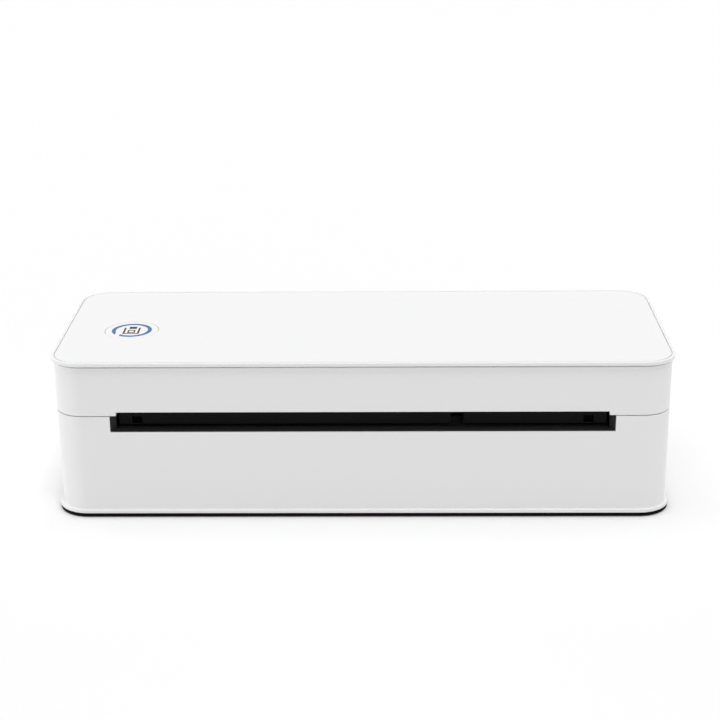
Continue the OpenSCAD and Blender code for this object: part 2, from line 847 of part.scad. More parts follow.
module rear_bezel() {
  color(black) difference() {
    mirror([0, 1, 0]) slot_bezel();
    both_sides() rod(axis_y, axis_z, groove_r, bezel_in_x - over, hinge_x0 + over);
  }
}

module hinge_pins() {
  color(steel) both_sides() rod(axis_y, axis_z, hinge_pin_r, hinge_x0 + knuckle_skin, hinge_x3 - knuckle_skin);
}

module platen_bushings() {
  color(gear_cream) both_sides() difference() {
    union() {
      rod(platen_y, platen_z, bush_r, cheek_in, cheek_out);
      rod(platen_y, platen_z, bush_flange_r, cheek_in - bush_flange_t, cheek_in - seat_gap);
      rod(platen_y, platen_z, bush_r, cheek_in - seat_gap - tiny, cheek_in + tiny);
    }
    rod(platen_y, platen_z, shaft_r + run_fit, cheek_in - bush_flange_t - over, cheek_out + over);
  }
}

module motor() {
  face = -cheek_in + seat_gap;
  color(steel) difference() {
    union() {
      rod(motor_y, motor_z, motor_r, face + motor_rim_t, face + motor_rim_t + motor_l, round_fn);
      block(face, face + motor_rim_t + tiny, motor_y - motor_rim_half, motor_y + motor_rim_half,
            motor_z - motor_r, motor_z + motor_r);
      rod(motor_y, motor_z, motor_boss_r, face - motor_boss_l, face + tiny);
    }
    rod(motor_y, motor_z, motor_shaft_r + run_fit, face - motor_boss_l - over, face + motor_l - motor_shaft_r);
    for (z = motor_heights) rod(motor_y, z, pilot_r, face - over, face + motor_screw_bite + over);
  }
}

module motor_screws() {
  color(steel) for (z = motor_heights) {
    rod(motor_y, z, motor_screw_head_r, -cheek_out - motor_screw_head_h, -cheek_out);
    rod(motor_y, z, screw_r, -cheek_out - tiny, -cheek_in + motor_screw_bite);
  }
}

module idler_pin() {
  color(steel) rod(idler_y, idler_z, idler_pin_r, -plane_b - gear_w - plane_gap, -cheek_in);
}

module latch_springs() {
  color(steel) both_sides() {
    translate([cheek_in - latch_spring_l, latch_y, latch_z]) rotate([0, 90, 0])
      coil(latch_r + move_gap + latch_spring_wire / 2, latch_spring_wire, latch_spring_turns, latch_spring_l);
  }
}

module lower_sensor() {
  color(black) {
    sensor_eye(0, bed_low - seat_gap - tiny, path_z - seat_gap);
    sensor_case(bed_low - sensor_t, bed_low - seat_gap);
  }
}

module guide_pinion_screw() {
  screw_up(0, guide_y, bar_low - guide_post_end, bed_low - bar_low + guide_screw_bite);
}

module main_board() {
  color(board_green) difference() {
    block(board_x0, board_x0 + board_l, board_y0, board_y1, board_low, board_top);
    for (p = board_places) post(p[0], p[1], hole_r, board_low - over, board_top + over);
  }
}

// Chips, capacitors and plugs, each seated on the board
module board_parts() {
  color(black) for (c = chips) board_part(c);
  color(pale_grey) for (c = plugs) board_part(c);
  color(steel) for (p = capacitors) post(p[0], board_y0 + p[1], capacitor_r, board_top, board_top + capacitor_h);
}

// One flat part on the board, from its entry in a list
module board_part(c) {
  y0 = board_y0 + c[1];
  block(c[0], c[0] + c[2], y0, y0 + c[3], board_top, board_top + c[4]);
}

module board_screws() {
  for (p = board_places) screw_down(p[0], p[1], board_top, board_t + board_screw_bite);
}

module usb_socket() {
  color(steel) difference() {
    block(usb_x - usb_w / 2, usb_x + usb_w / 2, socket_back - usb_l, socket_back,
          board_top, board_top + usb_h);
    block(usb_x - usb_w / 2 + usb_wall, usb_x + usb_w / 2 - usb_wall,
          socket_back - usb_deep, socket_back + over, board_top + usb_wall, board_top + usb_h - usb_wall);
  }
  color(black) block(usb_x - usb_tongue, usb_x + usb_tongue,
                     socket_back - usb_deep - tiny, socket_back - over,
                     board_top + (usb_h - usb_tongue_t) / 2, board_top + (usb_h + usb_tongue_t) / 2);
}

module power_jack() {
  color(black) difference() {
    block(jack_x - jack_w / 2, jack_x + jack_w / 2, socket_back - jack_l, socket_back,
          board_top, board_top + jack_h);
    rod_y(jack_x, jack_z, jack_r, socket_back - jack_deep, socket_back + over);
  }
  color(steel) rod_y(jack_x, jack_z, jack_pin_r, socket_back - jack_deep - tiny, socket_back - over);
}

module switch_housing() {
  color(black) difference() {
    block(rocker_x - switch_w / 2, rocker_x + switch_w / 2, board_y1 - switch_in, socket_back,
          switch_z - switch_h / 2, switch_z + switch_h / 2);
    block(rocker_x - rocker_w / 2 - rocker_room, rocker_x + rocker_w / 2 + rocker_room,
          rocker_y - rocker_deep - 2 * rocker_room, far,
          switch_z - rocker_h / 2 - move_gap, switch_z + rocker_h / 2 + move_gap);
    post(rocker_x, rocker_y, trunnion_r + run_fit,
         switch_z - rocker_h / 2 - trunnion_l - move_gap, switch_z + rocker_h / 2 + trunnion_l + move_gap);
  }
}

module battery_holder() {
  outer_x = cell_l + cell_gap + holder_t + holder_end;
  y0 = cell_row_y0 - cell_r - cell_gap;
  y1 = cell_row_y1 + cell_r + cell_gap;
  color(black) difference() {
    block(-outer_x, outer_x, y0 - holder_t, y1 + holder_t, base_z, base_z + holder_h);
    block(-outer_x + holder_t, outer_x - holder_t, y0, y1, base_z + holder_floor, base_z + holder_h + over);
  }
}

module battery_cells() {
  color(blue) for (x = [-1, 1], y = [cell_row_y0, cell_row_y1]) {
    rod(y, cell_z, cell_r, x > 0 ? cell_gap / 2 : -cell_gap / 2 - cell_l,
        x > 0 ? cell_gap / 2 + cell_l : -cell_gap / 2, round_fn);
  }
}

module case_screws() {
  for (p = concat(case_places, chassis_places)) {
    screw_up(p[0], p[1], floor_gap + head_recess, base_z + cup_h - floor_gap - head_recess + screw_bite);
  }
}

// Cover

module cover_shell() {
  color(white) {
    difference() {
      union() {
        difference() {
          outline_slab(0, upper_low, shell_top);
          outline_slab(-wall, upper_low - over, roof_z);
          block(-cover_slot_x, cover_slot_x, -far, far, upper_low - over, slot_top_z);
        }
        outline_slab(-shadow_inset, shell_top - tiny, plate_low);
        both_sides() rod(axis_y, axis_z, hinge_inset, base_slot_x + move_gap, hinge_x2 - knuckle_gap);
      }
      both_sides() {
        rod(axis_y, axis_z, knuckle_r + move_gap, hinge_x0 - knuckle_gap, hinge_x1 - knuckle_gap + tiny);
        rod(axis_y, axis_z, knuckle_r + move_gap, hinge_x2 - knuckle_gap, hinge_x3 + knuckle_gap);
        rod(axis_y, axis_z, hinge_pin_r + run_fit, hinge_x0 - over, hinge_x3 + over);
      }
      post(button_x, button_y, button_hole_r, roof_z - over, total_h, round_fn);
    }
    both_sides() cover_knuckle();
    for (p = cover_places) hollow_post(p, frame_low + frame_t, roof_z + tiny);
    for (p = front_places) hollow_post(p, pocket_roof + frame_t, roof_z + tiny);
    for (p = button_places) hollow_post(p, button_board_z + board_t, roof_z + tiny);
    both_sides() difference() {
      rod(keeper_y, keeper_z, keeper_r + keeper_boss, lever_out + move_gap, inner_x + tiny);
      rod(keeper_y, keeper_z, keeper_r + seat_gap, lever_out, inner_x + over);
    }
  }
}

module cover_knuckle() {
  difference() {
    union() {
      rod(axis_y, axis_z, knuckle_r, hinge_x1, hinge_x2 - knuckle_gap);
      block(hinge_x1, hinge_x2 - knuckle_gap, inner_y + knuckle_skin, half_d - knuckle_skin,
            axis_z + hinge_pin_r, axis_z + 2 * knuckle_r);
    }
    rod(axis_y, axis_z, hinge_pin_r + run_fit, hinge_x1 - over, hinge_x2 + over);
  }
}

// Screw post with a pilot hole in its lower end
module hollow_post(p, z0, z1) {
  difference() {
    post(p[0], p[1], post_r, z0, z1);
    post(p[0], p[1], pilot_r, z0 - over, min(z0 + case_post_h, z1 - over));
  }
}

module top_plate() {
  color(white) difference() {
    outline_slab(plate_out, plate_low, total_h);
    outline_slab(plate_out - rim_w, total_h - panel_t, total_h + over);
    post(button_x, button_y, button_hole_r, plate_low - over, total_h + over, round_fn);
  }
}

module top_panel() {
  color(white) difference() {
    outline_slab(plate_out - rim_w - groove_w, total_h - panel_t, total_h);
    post(button_x, button_y, button_hole_r, plate_low - over, total_h + over, round_fn);
  }
}

module upper_frame() {
  nose_low = path_z + exit_gap;
  roof_top = pocket_roof + frame_t;
  side_x = pocket_x + pocket_wall;
  frame_top = frame_low + frame_t;
  window_x = sheet_w / 2 - window_in;
  color(black) difference() {
    union() {
      block(-frame_x, frame_x, pocket_back, tail_y, frame_low, frame_top);
      block(-nose_x, nose_x, -nose_y, -nose_y + nose_t, nose_low, roof_top);
      block(-nose_x, nose_x, tail_y - nose_t, tail_y, tail_low, frame_top + tail_top_rise);
      both_sides() block(pocket_x, side_x, -nose_y, pocket_back + nose_t, frame_low, roof_top);
      block(-side_x, side_x, -nose_y, pocket_back + nose_t, pocket_roof, roof_top);
      block(-side_x, side_x, pocket_back, pocket_back + nose_t, frame_low, roof_top);
      both_sides() block(nose_x - over, side_x, -nose_y, -nose_y + nose_t,
                         bezel_top + nose_side_rise, roof_top);
    }
    block(notch_x - notch_w / 2, notch_x + notch_w / 2, -far, -nose_y + nose_t + over,
          0, pocket_roof - nose_t);
    both_sides() block(window_x - window_w, window_x, -far, -nose_y + window_deep,
                       nose_low + window_lift, nose_low + window_lift + window_h);
    both_sides() rod(head_pivot_y, head_pivot_z, head_pin_r + seat_gap, pocket_x - over, side_x + over);
    for (p = cover_places) post(p[0], p[1], hole_r, frame_low - over, frame_top + over);
    for (p = front_places) post(p[0], p[1], hole_r, pocket_roof - over, roof_top + over);
    sensor_eye(eye_play, frame_low - over, frame_top + over);
    button_board_area(move_gap, button_board_z - move_gap, total_h);
    for (p = button_places) post(p[0], p[1], screw_head_r + move_gap, button_board_z - head_h - move_gap, total_h);
  }
}

module upper_sensor() {
  frame_top = frame_low + frame_t;
  color(black) {
    sensor_eye(0, frame_low + seat_gap, frame_top + seat_gap + tiny);
    sensor_case(frame_top + seat_gap, frame_top + sensor_t);
  }
}

module head_pins() {
  color(steel) both_sides() {
    rod(head_pivot_y, head_pivot_z, head_pin_r, ear_x - head_pin_in, pocket_x + pocket_wall);
  }
}

module keeper_pins() {
  color(steel) both_sides() rod(keeper_y, keeper_z, keeper_r, lever_in - keeper_end, inner_x - seat_gap);
}

// Outline of the button board, grown by a gap
module button_board_area(gap, z0, z1) {
  half_x = button_board_w / 2 + gap;
  half_y = button_board_d / 2 + gap;
  block(button_x - half_x, button_x + half_x, button_y - half_y, button_y + half_y, z0, z1);
}

module button_board() {
  color(board_green) difference() {
    button_board_area(0, button_board_z, button_board_z + board_t);
    for (p = button_places) post(p[0], p[1], hole_r, button_board_z - over, button_board_z + board_t + over);
  }
}

module key_switch() {
  color(black) {
    block(button_x - key_size / 2, button_x + key_size / 2, button_y - key_size / 2, button_y + key_size / 2,
          button_board_z + board_t, key_top - stud_h);
    post(button_x, button_y, stud_r, key_top - stud_h - tiny, key_top);
  }
}

module button_screws() {
  for (p = button_places) screw_up(p[0], p[1], button_board_z, board_t + screw_bite);
}

module cover_screws() {
  for (p = cover_places) screw_up(p[0], p[1], frame_low, frame_t + screw_bite);
  for (p = front_places) screw_up(p[0], p[1], pocket_roof, frame_t + front_screw_bite);
}

module button_cap() {
  color(white) {
    difference() {
      union() {
        post(button_x, button_y, button_r, button_flange_z, total_h, round_fn);
        post(button_x, button_y, button_flange_r, button_flange_z,
             button_flange_z + button_flange_t, round_fn);
      }
      post(button_x, button_y, button_r - button_wall, button_flange_z - over,
           total_h - button_skin, round_fn);
      translate([button_x, button_y, total_h - inlay_t]) linear_extrude(over) ring_outline(seat_gap);
      translate([button_x, button_y, total_h - inlay_t]) linear_extrude(over) icon_outline(seat_gap);
    }
    post(button_x, button_y, stem_r, stem_low, total_h - button_skin + tiny);
  }
}

// Ring with a gap at its front left, grown by a clearance
module ring_outline(grow) {
  wide = 2 * ring_r;
  side_a = wide * [cos(ring_gap_from), sin(ring_gap_from)];
  side_b = wide * [cos(ring_gap_to), sin(ring_gap_to)];
  difference() {
    circle(r = ring_r + grow, $fn = round_fn);
    circle(r = ring_r - ring_w - grow, $fn = round_fn);
    polygon([[0, 0], side_a, side_b]);
  }
}

// Plain sheet with two lines, as a sign for paper
module icon_outline(grow) {
  difference() {
    square([icon_w + 2 * grow, icon_h + 2 * grow], center = true);
    square([icon_w - 2 * icon_line - 2 * grow, icon_h - 2 * icon_line - 2 * grow], center = true);
  }
  for (y = icon_bars) {
    translate([0, y]) square([icon_w / 2 - icon_bar_in + 2 * grow, icon_line + 2 * grow], center = true);
  }
}

module button_ring() {
  color(blue) translate([button_x, button_y, total_h - inlay_t]) linear_extrude(inlay_t) ring_outline(0);
}

module button_icon() {
  color(dark_grey) translate([button_x, button_y, total_h - inlay_t]) linear_extrude(inlay_t) icon_outline(0);
}

// Print head

module print_head() {
  color(ceramic_brown) {
    block(-head_x, head_x, head_front, head_front + 2 * ceramic_half, ceramic_low, ceramic_top);
  }
}

module head_board() {
  color(board_green) {
    block(-head_x + head_board_in, head_x - head_board_in, head_board_y, head_rear,
          ceramic_top - head_board_t, ceramic_top);
  }
}

module heat_sink() {
  color(pale_grey) difference() {
    block(-head_x, head_x, head_front, head_rear, ceramic_top, sink_top);
    for (n = [1:rib_n]) {
      block(-far, far, head_front + n * rib_pitch - rib_groove, head_front + n * rib_pitch,
            ceramic_top + rib_floor, sink_top + over);
    }
  }
}

module head_bracket() {
  color(steel) {
    block(-ear_x, ear_x, head_front - bracket_lip, head_pivot_y + ear_back, sink_top, bracket_top);
    both_sides() difference() {
      union() {
        rod(head_pivot_y, head_pivot_z, ear_r, ear_x - bracket_t, ear_x);
        block(ear_x - bracket_t, ear_x, head_pivot_y - ear_r, head_pivot_y + ear_back,
              sink_top + tiny, head_pivot_z);
      }
      rod(head_pivot_y, head_pivot_z, head_pin_r + run_fit, ear_x - bracket_t - over, ear_x + over);
    }
  }
}

module head_springs() {
  color(steel) for (x = spring_places) {
    translate([x, platen_y, bracket_top]) coil(spring_r, spring_wire, spring_turns, pocket_roof - bracket_top);
  }
}

// Drive

module platen_shaft() {
  color(steel) rod(platen_y, platen_z, shaft_r, -plane_a - gear_w - platen_shaft_end, cheek_out + over);
}

module platen_rubber() {
  color(black) difference() {
    rod(platen_y, platen_z, platen_r, -rubber_x, rubber_x, round_fn);
    rod(platen_y, platen_z, shaft_r + seat_gap, -rubber_x - over, rubber_x + over);
  }
}

module platen_gear() {
  color(gear_cream) difference() {
    gear_x(platen_teeth, idler_angle, platen_y, platen_z, -plane_a - gear_w, -plane_a);
    rod(platen_y, platen_z, shaft_r + seat_gap, -far, 0);
  }
}

module idler_gear() {
  color(gear_cream) difference() {
    union() {
      gear_x(idler_small_teeth, idler_angle + 180 + 180 / idler_small_teeth, idler_y, idler_z,
             -plane_a - gear_w, -plane_a);
      gear_x(idler_big_teeth, motor_angle, idler_y, idler_z, -plane_b - gear_w, -plane_b);
      rod(idler_y, idler_z, small_pitch - 2 * gear_m, -plane_b - over, -plane_a - over);
    }
    rod(idler_y, idler_z, idler_pin_r + run_fit, -far, 0);
  }
}

module motor_shaft() {
  color(steel) rod(motor_y, motor_z, motor_shaft_r, -plane_b - gear_w, -cheek_in + motor_l - 2 * motor_shaft_r);
}

module motor_pinion() {
  color(gear_cream) difference() {
    union() {
      gear_x(pinion_teeth, motor_angle + 180 + 180 / pinion_teeth, motor_y, motor_z,
             -plane_b - gear_w, -plane_b);
      rod(motor_y, motor_z, motor_shaft_r + pinion_hub, -plane_b - over, -plane_a);
    }
    rod(motor_y, motor_z, motor_shaft_r + seat_gap, -far, 0);
  }
}

// Latch

module latch_shaft() {
  color(steel) rod(latch_y, latch_z, latch_r, -lever_out, lever_out);
}

// Hooked lever of the right side, with its release tab through the shell
module lever() {
  difference() {
    union() {
      rod(latch_y, latch_z, boss_r, lever_in, lever_out);
      block(lever_in, lever_out, arm_y, arm_back, latch_z, hook_low);
      plate_x(lever_in, lever_out) polygon([
        [arm_y, hook_low - over], [arm_back, hook_low - over], [arm_back, hook_low],
        [hook_tip, hook_low + hook_lip], [hook_tip, hook_low + hook_lip + hook_nose],
        [arm_back, hook_low + hook_h], [arm_y, hook_low + hook_h]
      ]);
      block(lever_in, lever_out, arm_back - over, tab_y + tab_w, tab_low, tab_low + tab_h);
    }
    rod(latch_y, latch_z, latch_r + seat_gap, lever_in - over, lever_out + over);
  }
  difference() {
    block(lever_out - tiny, half_w - tab_sink, tab_y, tab_y + tab_w, tab_low, tab_low + tab_h);
    for (n = [1:grip_n]) {
      groove_z = tab_low + n * tab_h / (grip_n + 1);
      block(half_w - tab_sink - grip_deep, half_w + over, tab_y - over, tab_y + tab_w + over,
            groove_z - grip_cut / 2, groove_z + grip_cut / 2);
    }
  }
}

module right_lever() {
  color(pale_grey) lever();
}

module left_lever() {
  color(pale_grey) mirror([1, 0, 0]) lever();
}

// Paper guides

// Left guide: a fence over the bed, a neck through the bed and a rack under it
module guide() {
  bar_y = guide_y - guide_pitch;
  block(-fence_in - fence_t, -fence_in, fence_y, fence_y + fence_l, fence_low, fence_top);
  block(-fence_in - neck_l, -fence_in, bar_y - neck_back - neck_t / 2, bar_y - neck_back + neck_t / 2,
        bar_top - tiny, fence_low + guide_foot);
  translate([0, bar_y, bar_low]) linear_extrude(bar_h) rack_outline(-fence_in - neck_l, rack_reach, bar_back);
}

module left_guide() {
  color(black) guide();
}

module right_guide() {
  color(black) translate([0, 2 * guide_y, 0]) rotate([0, 0, 180]) guide();
}

module guide_pinion() {
  color(gear_cream) difference() {
    translate([0, guide_y, bar_low]) linear_extrude(bar_h) gear_outline(rack_m, guide_teeth, -90);
    post(0, guide_y, guide_post_r + run_fit, bar_low - over, bar_top + over);
  }
}

// Rocker of the power switch, at rest on its off side
module power_rocker() {
  end = rocker_w / 2;
  color(black) translate([rocker_x, rocker_y, switch_z]) rotate([0, 0, -rocker_tilt]) {
    translate([0, 0, -rocker_h / 2]) linear_extrude(rocker_h) polygon([
      [-end, rocker_side], [-end, rocker_edge], [0, rocker_dip], [end, rocker_edge], [end, rocker_side],
      [rocker_foot, rocker_room - rocker_deep], [-rocker_foot, rocker_room - rocker_deep]
    ]);
    post(0, 0, trunnion_r, -rocker_h / 2 - trunnion_l, rocker_h / 2 + trunnion_l);
  }
}

lower_shell();
bottom_cover();
rubber_feet();
chassis();
front_bezel();
rear_bezel();
hinge_pins();
platen_bushings();
motor();
motor_screws();
idler_pin();
latch_springs();
lower_sensor();
guide_pinion_screw();
main_board();
board_parts();
board_screws();
usb_socket();
power_jack();
switch_housing();
battery_holder();
battery_cells();
case_screws();
cover_shell();
top_plate();
top_panel();
upper_frame();
upper_sensor();
head_pins();
keeper_pins();
button_board();
key_switch();
button_screws();
cover_screws();
button_cap();
button_ring();
button_icon();
print_head();
head_board();
heat_sink();
head_bracket();
head_springs();
platen_shaft();
platen_rubber();
platen_gear();
idler_gear();
motor_shaft();
motor_pinion();
latch_shaft();
left_lever();
right_lever();
left_guide();
right_guide();
guide_pinion();
power_rocker();
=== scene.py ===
"""Looks of the A4 portable thermal printer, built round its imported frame."""

import json
import math

import bmesh
import bpy
from mathutils import Matrix, Vector


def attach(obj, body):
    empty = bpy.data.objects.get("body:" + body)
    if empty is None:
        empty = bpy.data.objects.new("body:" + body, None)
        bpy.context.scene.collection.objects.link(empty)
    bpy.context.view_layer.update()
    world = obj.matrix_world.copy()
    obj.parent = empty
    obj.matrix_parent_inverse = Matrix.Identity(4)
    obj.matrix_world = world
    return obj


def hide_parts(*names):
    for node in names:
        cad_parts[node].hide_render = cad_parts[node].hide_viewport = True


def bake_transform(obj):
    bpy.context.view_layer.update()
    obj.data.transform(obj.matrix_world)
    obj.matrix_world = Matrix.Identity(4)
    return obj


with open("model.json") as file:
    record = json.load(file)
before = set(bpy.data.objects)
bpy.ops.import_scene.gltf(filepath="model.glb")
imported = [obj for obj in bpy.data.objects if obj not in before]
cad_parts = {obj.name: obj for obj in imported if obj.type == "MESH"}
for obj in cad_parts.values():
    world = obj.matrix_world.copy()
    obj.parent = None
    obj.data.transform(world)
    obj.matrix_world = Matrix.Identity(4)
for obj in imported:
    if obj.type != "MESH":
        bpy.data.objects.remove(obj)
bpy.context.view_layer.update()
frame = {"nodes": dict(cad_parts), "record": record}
nodes = frame["nodes"]

MM = 0.001
SIDES = (-1, 1)

# Shell sizes, in millimetres, as in the part's source
HALF_W = 135.5
HALF_D = 50.3
CORNER_R = 13.0
WALL = 2.4
INNER_X = HALF_W - WALL
BASE_Z = 2.0
LOWER_TOP = 47.6
UPPER_LOW = 48.0
SHELL_TOP = 70.3
ROOF_Z = 68.4
ROOF_R = 1.0
ROOF_IN = 2.0
PLATE_LOW = 71.2
PLATE_LOW_R = 0.15
TOTAL_H = 72.8
PLATE_OUT = 1.2
RIM_W = 1.3
GROOVE_W = 0.4
PANEL_T = 0.8
FLANGE_OUT = 1.6
FLANGE_TOP = 3.5
SHADOW_INSET = 1.5

# Slot through the shells, and how near its rounded edges come to the parting line
BASE_SLOT_X = 110.5
COVER_SLOT_X = 107.7
SLOT_LOW = 40.4
SLOT_TOP = 49.75
SLOT_ROUND = 0.25
LOWER_ROUND_END = 47.2
UPPER_ROUND_END = 48.4
# Places of the sheets in the sensor windows in the slot's upper lip, on the right; the sheets are near-black
# and paint the shade of the holes
PANE = ((97.0, -44.9, 43.1), (101.2, -44.52, 46.0))

# Hinge: at each rear corner the cover's knuckle turns between two of the base's, about (y, z)
HINGE = (49.0, 47.8)
KNUCKLE_R = 2.5
KNUCKLE_W = 3.8
KNUCKLE_BORE = 1.05
KNUCKLE_GAP = 0.3
BASE_KNUCKLES = (116.4, 124.6)
COVER_KNUCKLE = 120.5
# Each knuckle's leaf, from one (y, z) to another
BASE_LEAF = ((48.1, 42.8), (49.4, 46.6))
COVER_LEAF = ((48.1, 48.8), (50.1, 52.8))
# Groove along the hinge's line in the base, where the cover's rear edge turns
GROOVE_X = 119.0
GROOVE_LENGTH = 19.0
GROOVE_R = 1.8
# Round stub of the cover's rear edge, between the slot's end and the first knuckle
STUB_X = 110.8
STUB_LENGTH = 3.4
STUB_R = 1.3
STUB_EDGE = 0.1

# Window of the latch's release tab on the right, and the keeper pin's (y, z) and boss in the cover
LATCH_WINDOW = ((131.0, -35.0, 32.4), (137.0, -23.4, 45.3))
KEEPER = (-29.0, 53.0)
KEEPER_BOSS_R = 3.5
KEEPER_BOSS_X = 130.8
KEEPER_SINK = 0.05

# Windows of the USB socket, power jack and power switch in the rear wall: left, right and top
PORTS = ((15.2, 24.8, 13.2), (40.3, 49.7, 20.8), (72.3, 91.7, 22.8))
PORT_LOW = 9.4
PORT_IN = 40.0

# Screw posts: places (x, y), and the height where each kind starts
POST_R = 3.6
POST_BORE = 1.25
POST_STEPS = 32
BASE_POSTS = [(x, y) for x in (-124.5, 124.5) for y in (-39.5, 39.5)]
BASE_POST_Z = (4.0, 12.0)
COVER_POSTS = [(x, y) for x in (-111.5, 111.5) for y in (14.0, 38.0)]
COVER_POST_LOW = 49.05
FRONT_POSTS = [(-80.0, -39.1), (80.0, -39.1)]
FRONT_POST_LOW = 56.5
BUTTON_POST_X = 17.85
BUTTON_POST_LOW = 60.65

# Button: its cap with a skirt and a stem, and the inlaid ring and sign
BUTTON = (-105.6, -6.8)
BUTTON_R = 12.1
BUTTON_HOLE_R = 12.25
BUTTON_HOLE_LOW = 60.0
BUTTON_HOLE_H = 20.0
BUTTON_HOLE_ROUND = 0.1
CAP_DROP = 0.03
CAP_T = 1.5
CAP_BORE = 10.6
CAP_FILLET = 0.4
SKIRT_R = 13.65
SKIRT_LOW = 66.9
SKIRT_TOP = 68.1
STEM_R = 2.0
STEM_LOW = 64.9
STEM_H = 6.5
INLAY_T = 0.4
RING_R = 9.1
RING_W = 1.8
# How far left of the button's middle the ring's gap starts and ends
RING_GAP = (6.9, 4.75)

# Print head: the platen's axis and the springs over the head
PLATEN_Y = -26.0
HEATER_HALF = 0.45
SPRING_X = (-85, -30, 30, 85)
SPRING_LOW = 47.35
SPRING_TOP = 54.45
SPRING_R = 2.6
SPRING_WIRE = 0.8

# Modelling values
FAR = 60.0  # reach of a cut past the shells
COVER_CUT_LOW = 30.0  # where the cut of the cover's slot starts, below the cover
SEAM_Z = 20.0  # where the lower shell's profile starts
RING_IN = 6.0  # width of a plate's outer band, which its flat middle joins
FINE_R = 0.12
SOFT_R = 0.2
FULL_R = 0.3
SHARP = 0.01  # rim of a cutting rod
NEAR = 0.01  # how near an edge has to lie to be taken as on the slot's limit
OVERLAP = 0.1
CORNER_STEPS = 24
FILLET_STEPS = 4
RING_STEPS = 96
SMOOTH_ANGLE = 32.0
COIL_SMOOTH_ANGLE = 60.0

# Widths of the rounded edges on CAD nodes, in millimetres
EDGE = 0.12
EDGES = {
    "bottom_cover": 0.3, "rubber_feet": 0.4, "front_bezel": 0.2, "rear_bezel": 0.2, "upper_frame": 0.2,
    "chassis": 0.2, "left_lever": 0.25, "right_lever": 0.25, "left_guide": 0.2, "right_guide": 0.2,
    "heat_sink": 0.15, "head_bracket": 0.15, "battery_holder": 0.2, "switch_housing": 0.25,
    "power_rocker": 0.3, "motor": 0.3, "platen_rubber": 0.3, "head_springs": 0, "latch_springs": 0,
}

# Camera, fitted to the photograph: pitch, yaw and roll in degrees, place in metres, focal length in pixels
CAMERA_ANGLES = (20.0, -1.1, -0.543)
CAMERA_PLACE = (0.011956, -0.70954, 0.31382)
CAMERA_FOCAL = 1630.6
FRAME_PIXELS = 720
SENSOR = 36.0

# Light levels
SKY_FILL = 0.44
FLOOR_GLOW = 0.095
FLOOR_SIZE = 30.0
FLOOR_COLOUR = (0.86, 0.86, 0.86, 1.0)
WHITE_LIGHT = (1.0, 1.0, 1.0, 1.0)
# Lamps: name, direction they come from, strength, spread in degrees, and whether reflections show them
LAMPS = (
    ("top", (0.0, 0.0, 1.0), 1.2, 60, True),
    ("key", (0.15, -0.27, 0.95), 0.55, 14, True),
    ("front", (0.3, -0.95, 0.12), 0.27, 40, False),
    ("left", (-1.0, 0.0, 0.1), 0.8, 10, False),
    ("left rim", (-0.8, 0.6, 0.12), 0.3, 20, False),
    ("right rim", (0.8, 0.6, 0.12), 0.3, 20, False),
)


# Camera

def place_camera():
    pitch, yaw, roll = (math.radians(a) for a in CAMERA_ANGLES)
    level = math.cos(pitch)
    forward = Vector((math.sin(yaw) * level, math.cos(yaw) * level, -math.sin(pitch)))
    side = forward.cross(Vector((0, 0, 1))).normalized()
    top = side.cross(forward)
    right = side * math.cos(roll) + top * math.sin(roll)
    up = top * math.cos(roll) - side * math.sin(roll)
    data = bpy.data.cameras.new("camera")
    data.sensor_width = SENSOR
    data.lens = CAMERA_FOCAL / FRAME_PIXELS * SENSOR
    data.clip_start = 0.01
    data.clip_end = 50.0
    camera = bpy.data.objects.new("camera", data)
    turn = Matrix((right, up, -forward)).transposed().to_4x4()
    camera.matrix_world = Matrix.Translation(CAMERA_PLACE) @ turn
    bpy.context.scene.collection.objects.link(camera)
    bpy.context.scene.camera = camera


# Node materials

class Nodes:
    """A short way to write a node tree."""

    def __init__(self, name):
        self.material = bpy.data.materials.new(name)
        self.material.use_nodes = True
        self.tree = self.material.node_tree
        self.tree.nodes.clear()
        self.out = self.tree.nodes.new("ShaderNodeOutputMaterial")

    def add(self, kind, **inputs):
        node = self.tree.nodes.new(kind)
        for key, value in inputs.items():
            socket = key.replace("_", " ")
            if socket in node.inputs:
                self.feed(node.inputs[socket], value)
            else:
                setattr(node, key, value)
        return node

    def feed(self, socket, value):
        if isinstance(value, bpy.types.NodeSocket):
            self.tree.links.new(value, socket)
        else:
            socket.default_value = value

    def ramp(self, factor, *stops):
        node = self.tree.nodes.new("ShaderNodeValToRGB")
        self.tree.links.new(factor, node.inputs[0])
        ends = node.color_ramp.elements
        while len(ends) < len(stops):
            ends.new(0.5)
        for element, (place, shade) in zip(ends, stops):
            element.position = place
            element.color = shade if len(shade) == 4 else (*shade, 1.0)
        return node.outputs[0]

    def coords(self, scale):
        place = self.add("ShaderNodeTexCoord").outputs["Object"]
        mapping = self.add("ShaderNodeMapping")
        self.tree.links.new(place, mapping.inputs["Vector"])
        mapping.inputs["Scale"].default_value = scale if hasattr(scale, "__len__") else (scale,) * 3
        return mapping.outputs[0]

    def noise(self, scale, detail=2.0, rough=0.5, stretch=1.0):
        node = self.add("ShaderNodeTexNoise")
        self.feed(node.inputs["Vector"], self.coords(stretch))
        node.inputs["Scale"].default_value = scale
        node.inputs["Detail"].default_value = detail
        node.inputs["Roughness"].default_value = rough
        return node.outputs["Fac"]

    def bump(self, height, strength, distance, below=None):
        node = self.add("ShaderNodeBump")
        node.inputs["Strength"].default_value = strength
        node.inputs["Distance"].default_value = distance
        self.tree.links.new(height, node.inputs["Height"])
        if below is not None:
            self.tree.links.new(below, node.inputs["Normal"])
        return node.outputs[0]

    def surface(self, colour, roughness, normal=None, **constants):
        shader = self.tree.nodes.new("ShaderNodeBsdfPrincipled")
        self.feed(shader.inputs["Base Color"], colour)
        self.feed(shader.inputs["Roughness"], roughness)
        if normal is not None:
            self.tree.links.new(normal, shader.inputs["Normal"])
        for key, value in constants.items():
            shader.inputs[key.replace("_", " ")].default_value = value
        self.tree.links.new(shader.outputs[0], self.out.inputs["Surface"])
        return shader


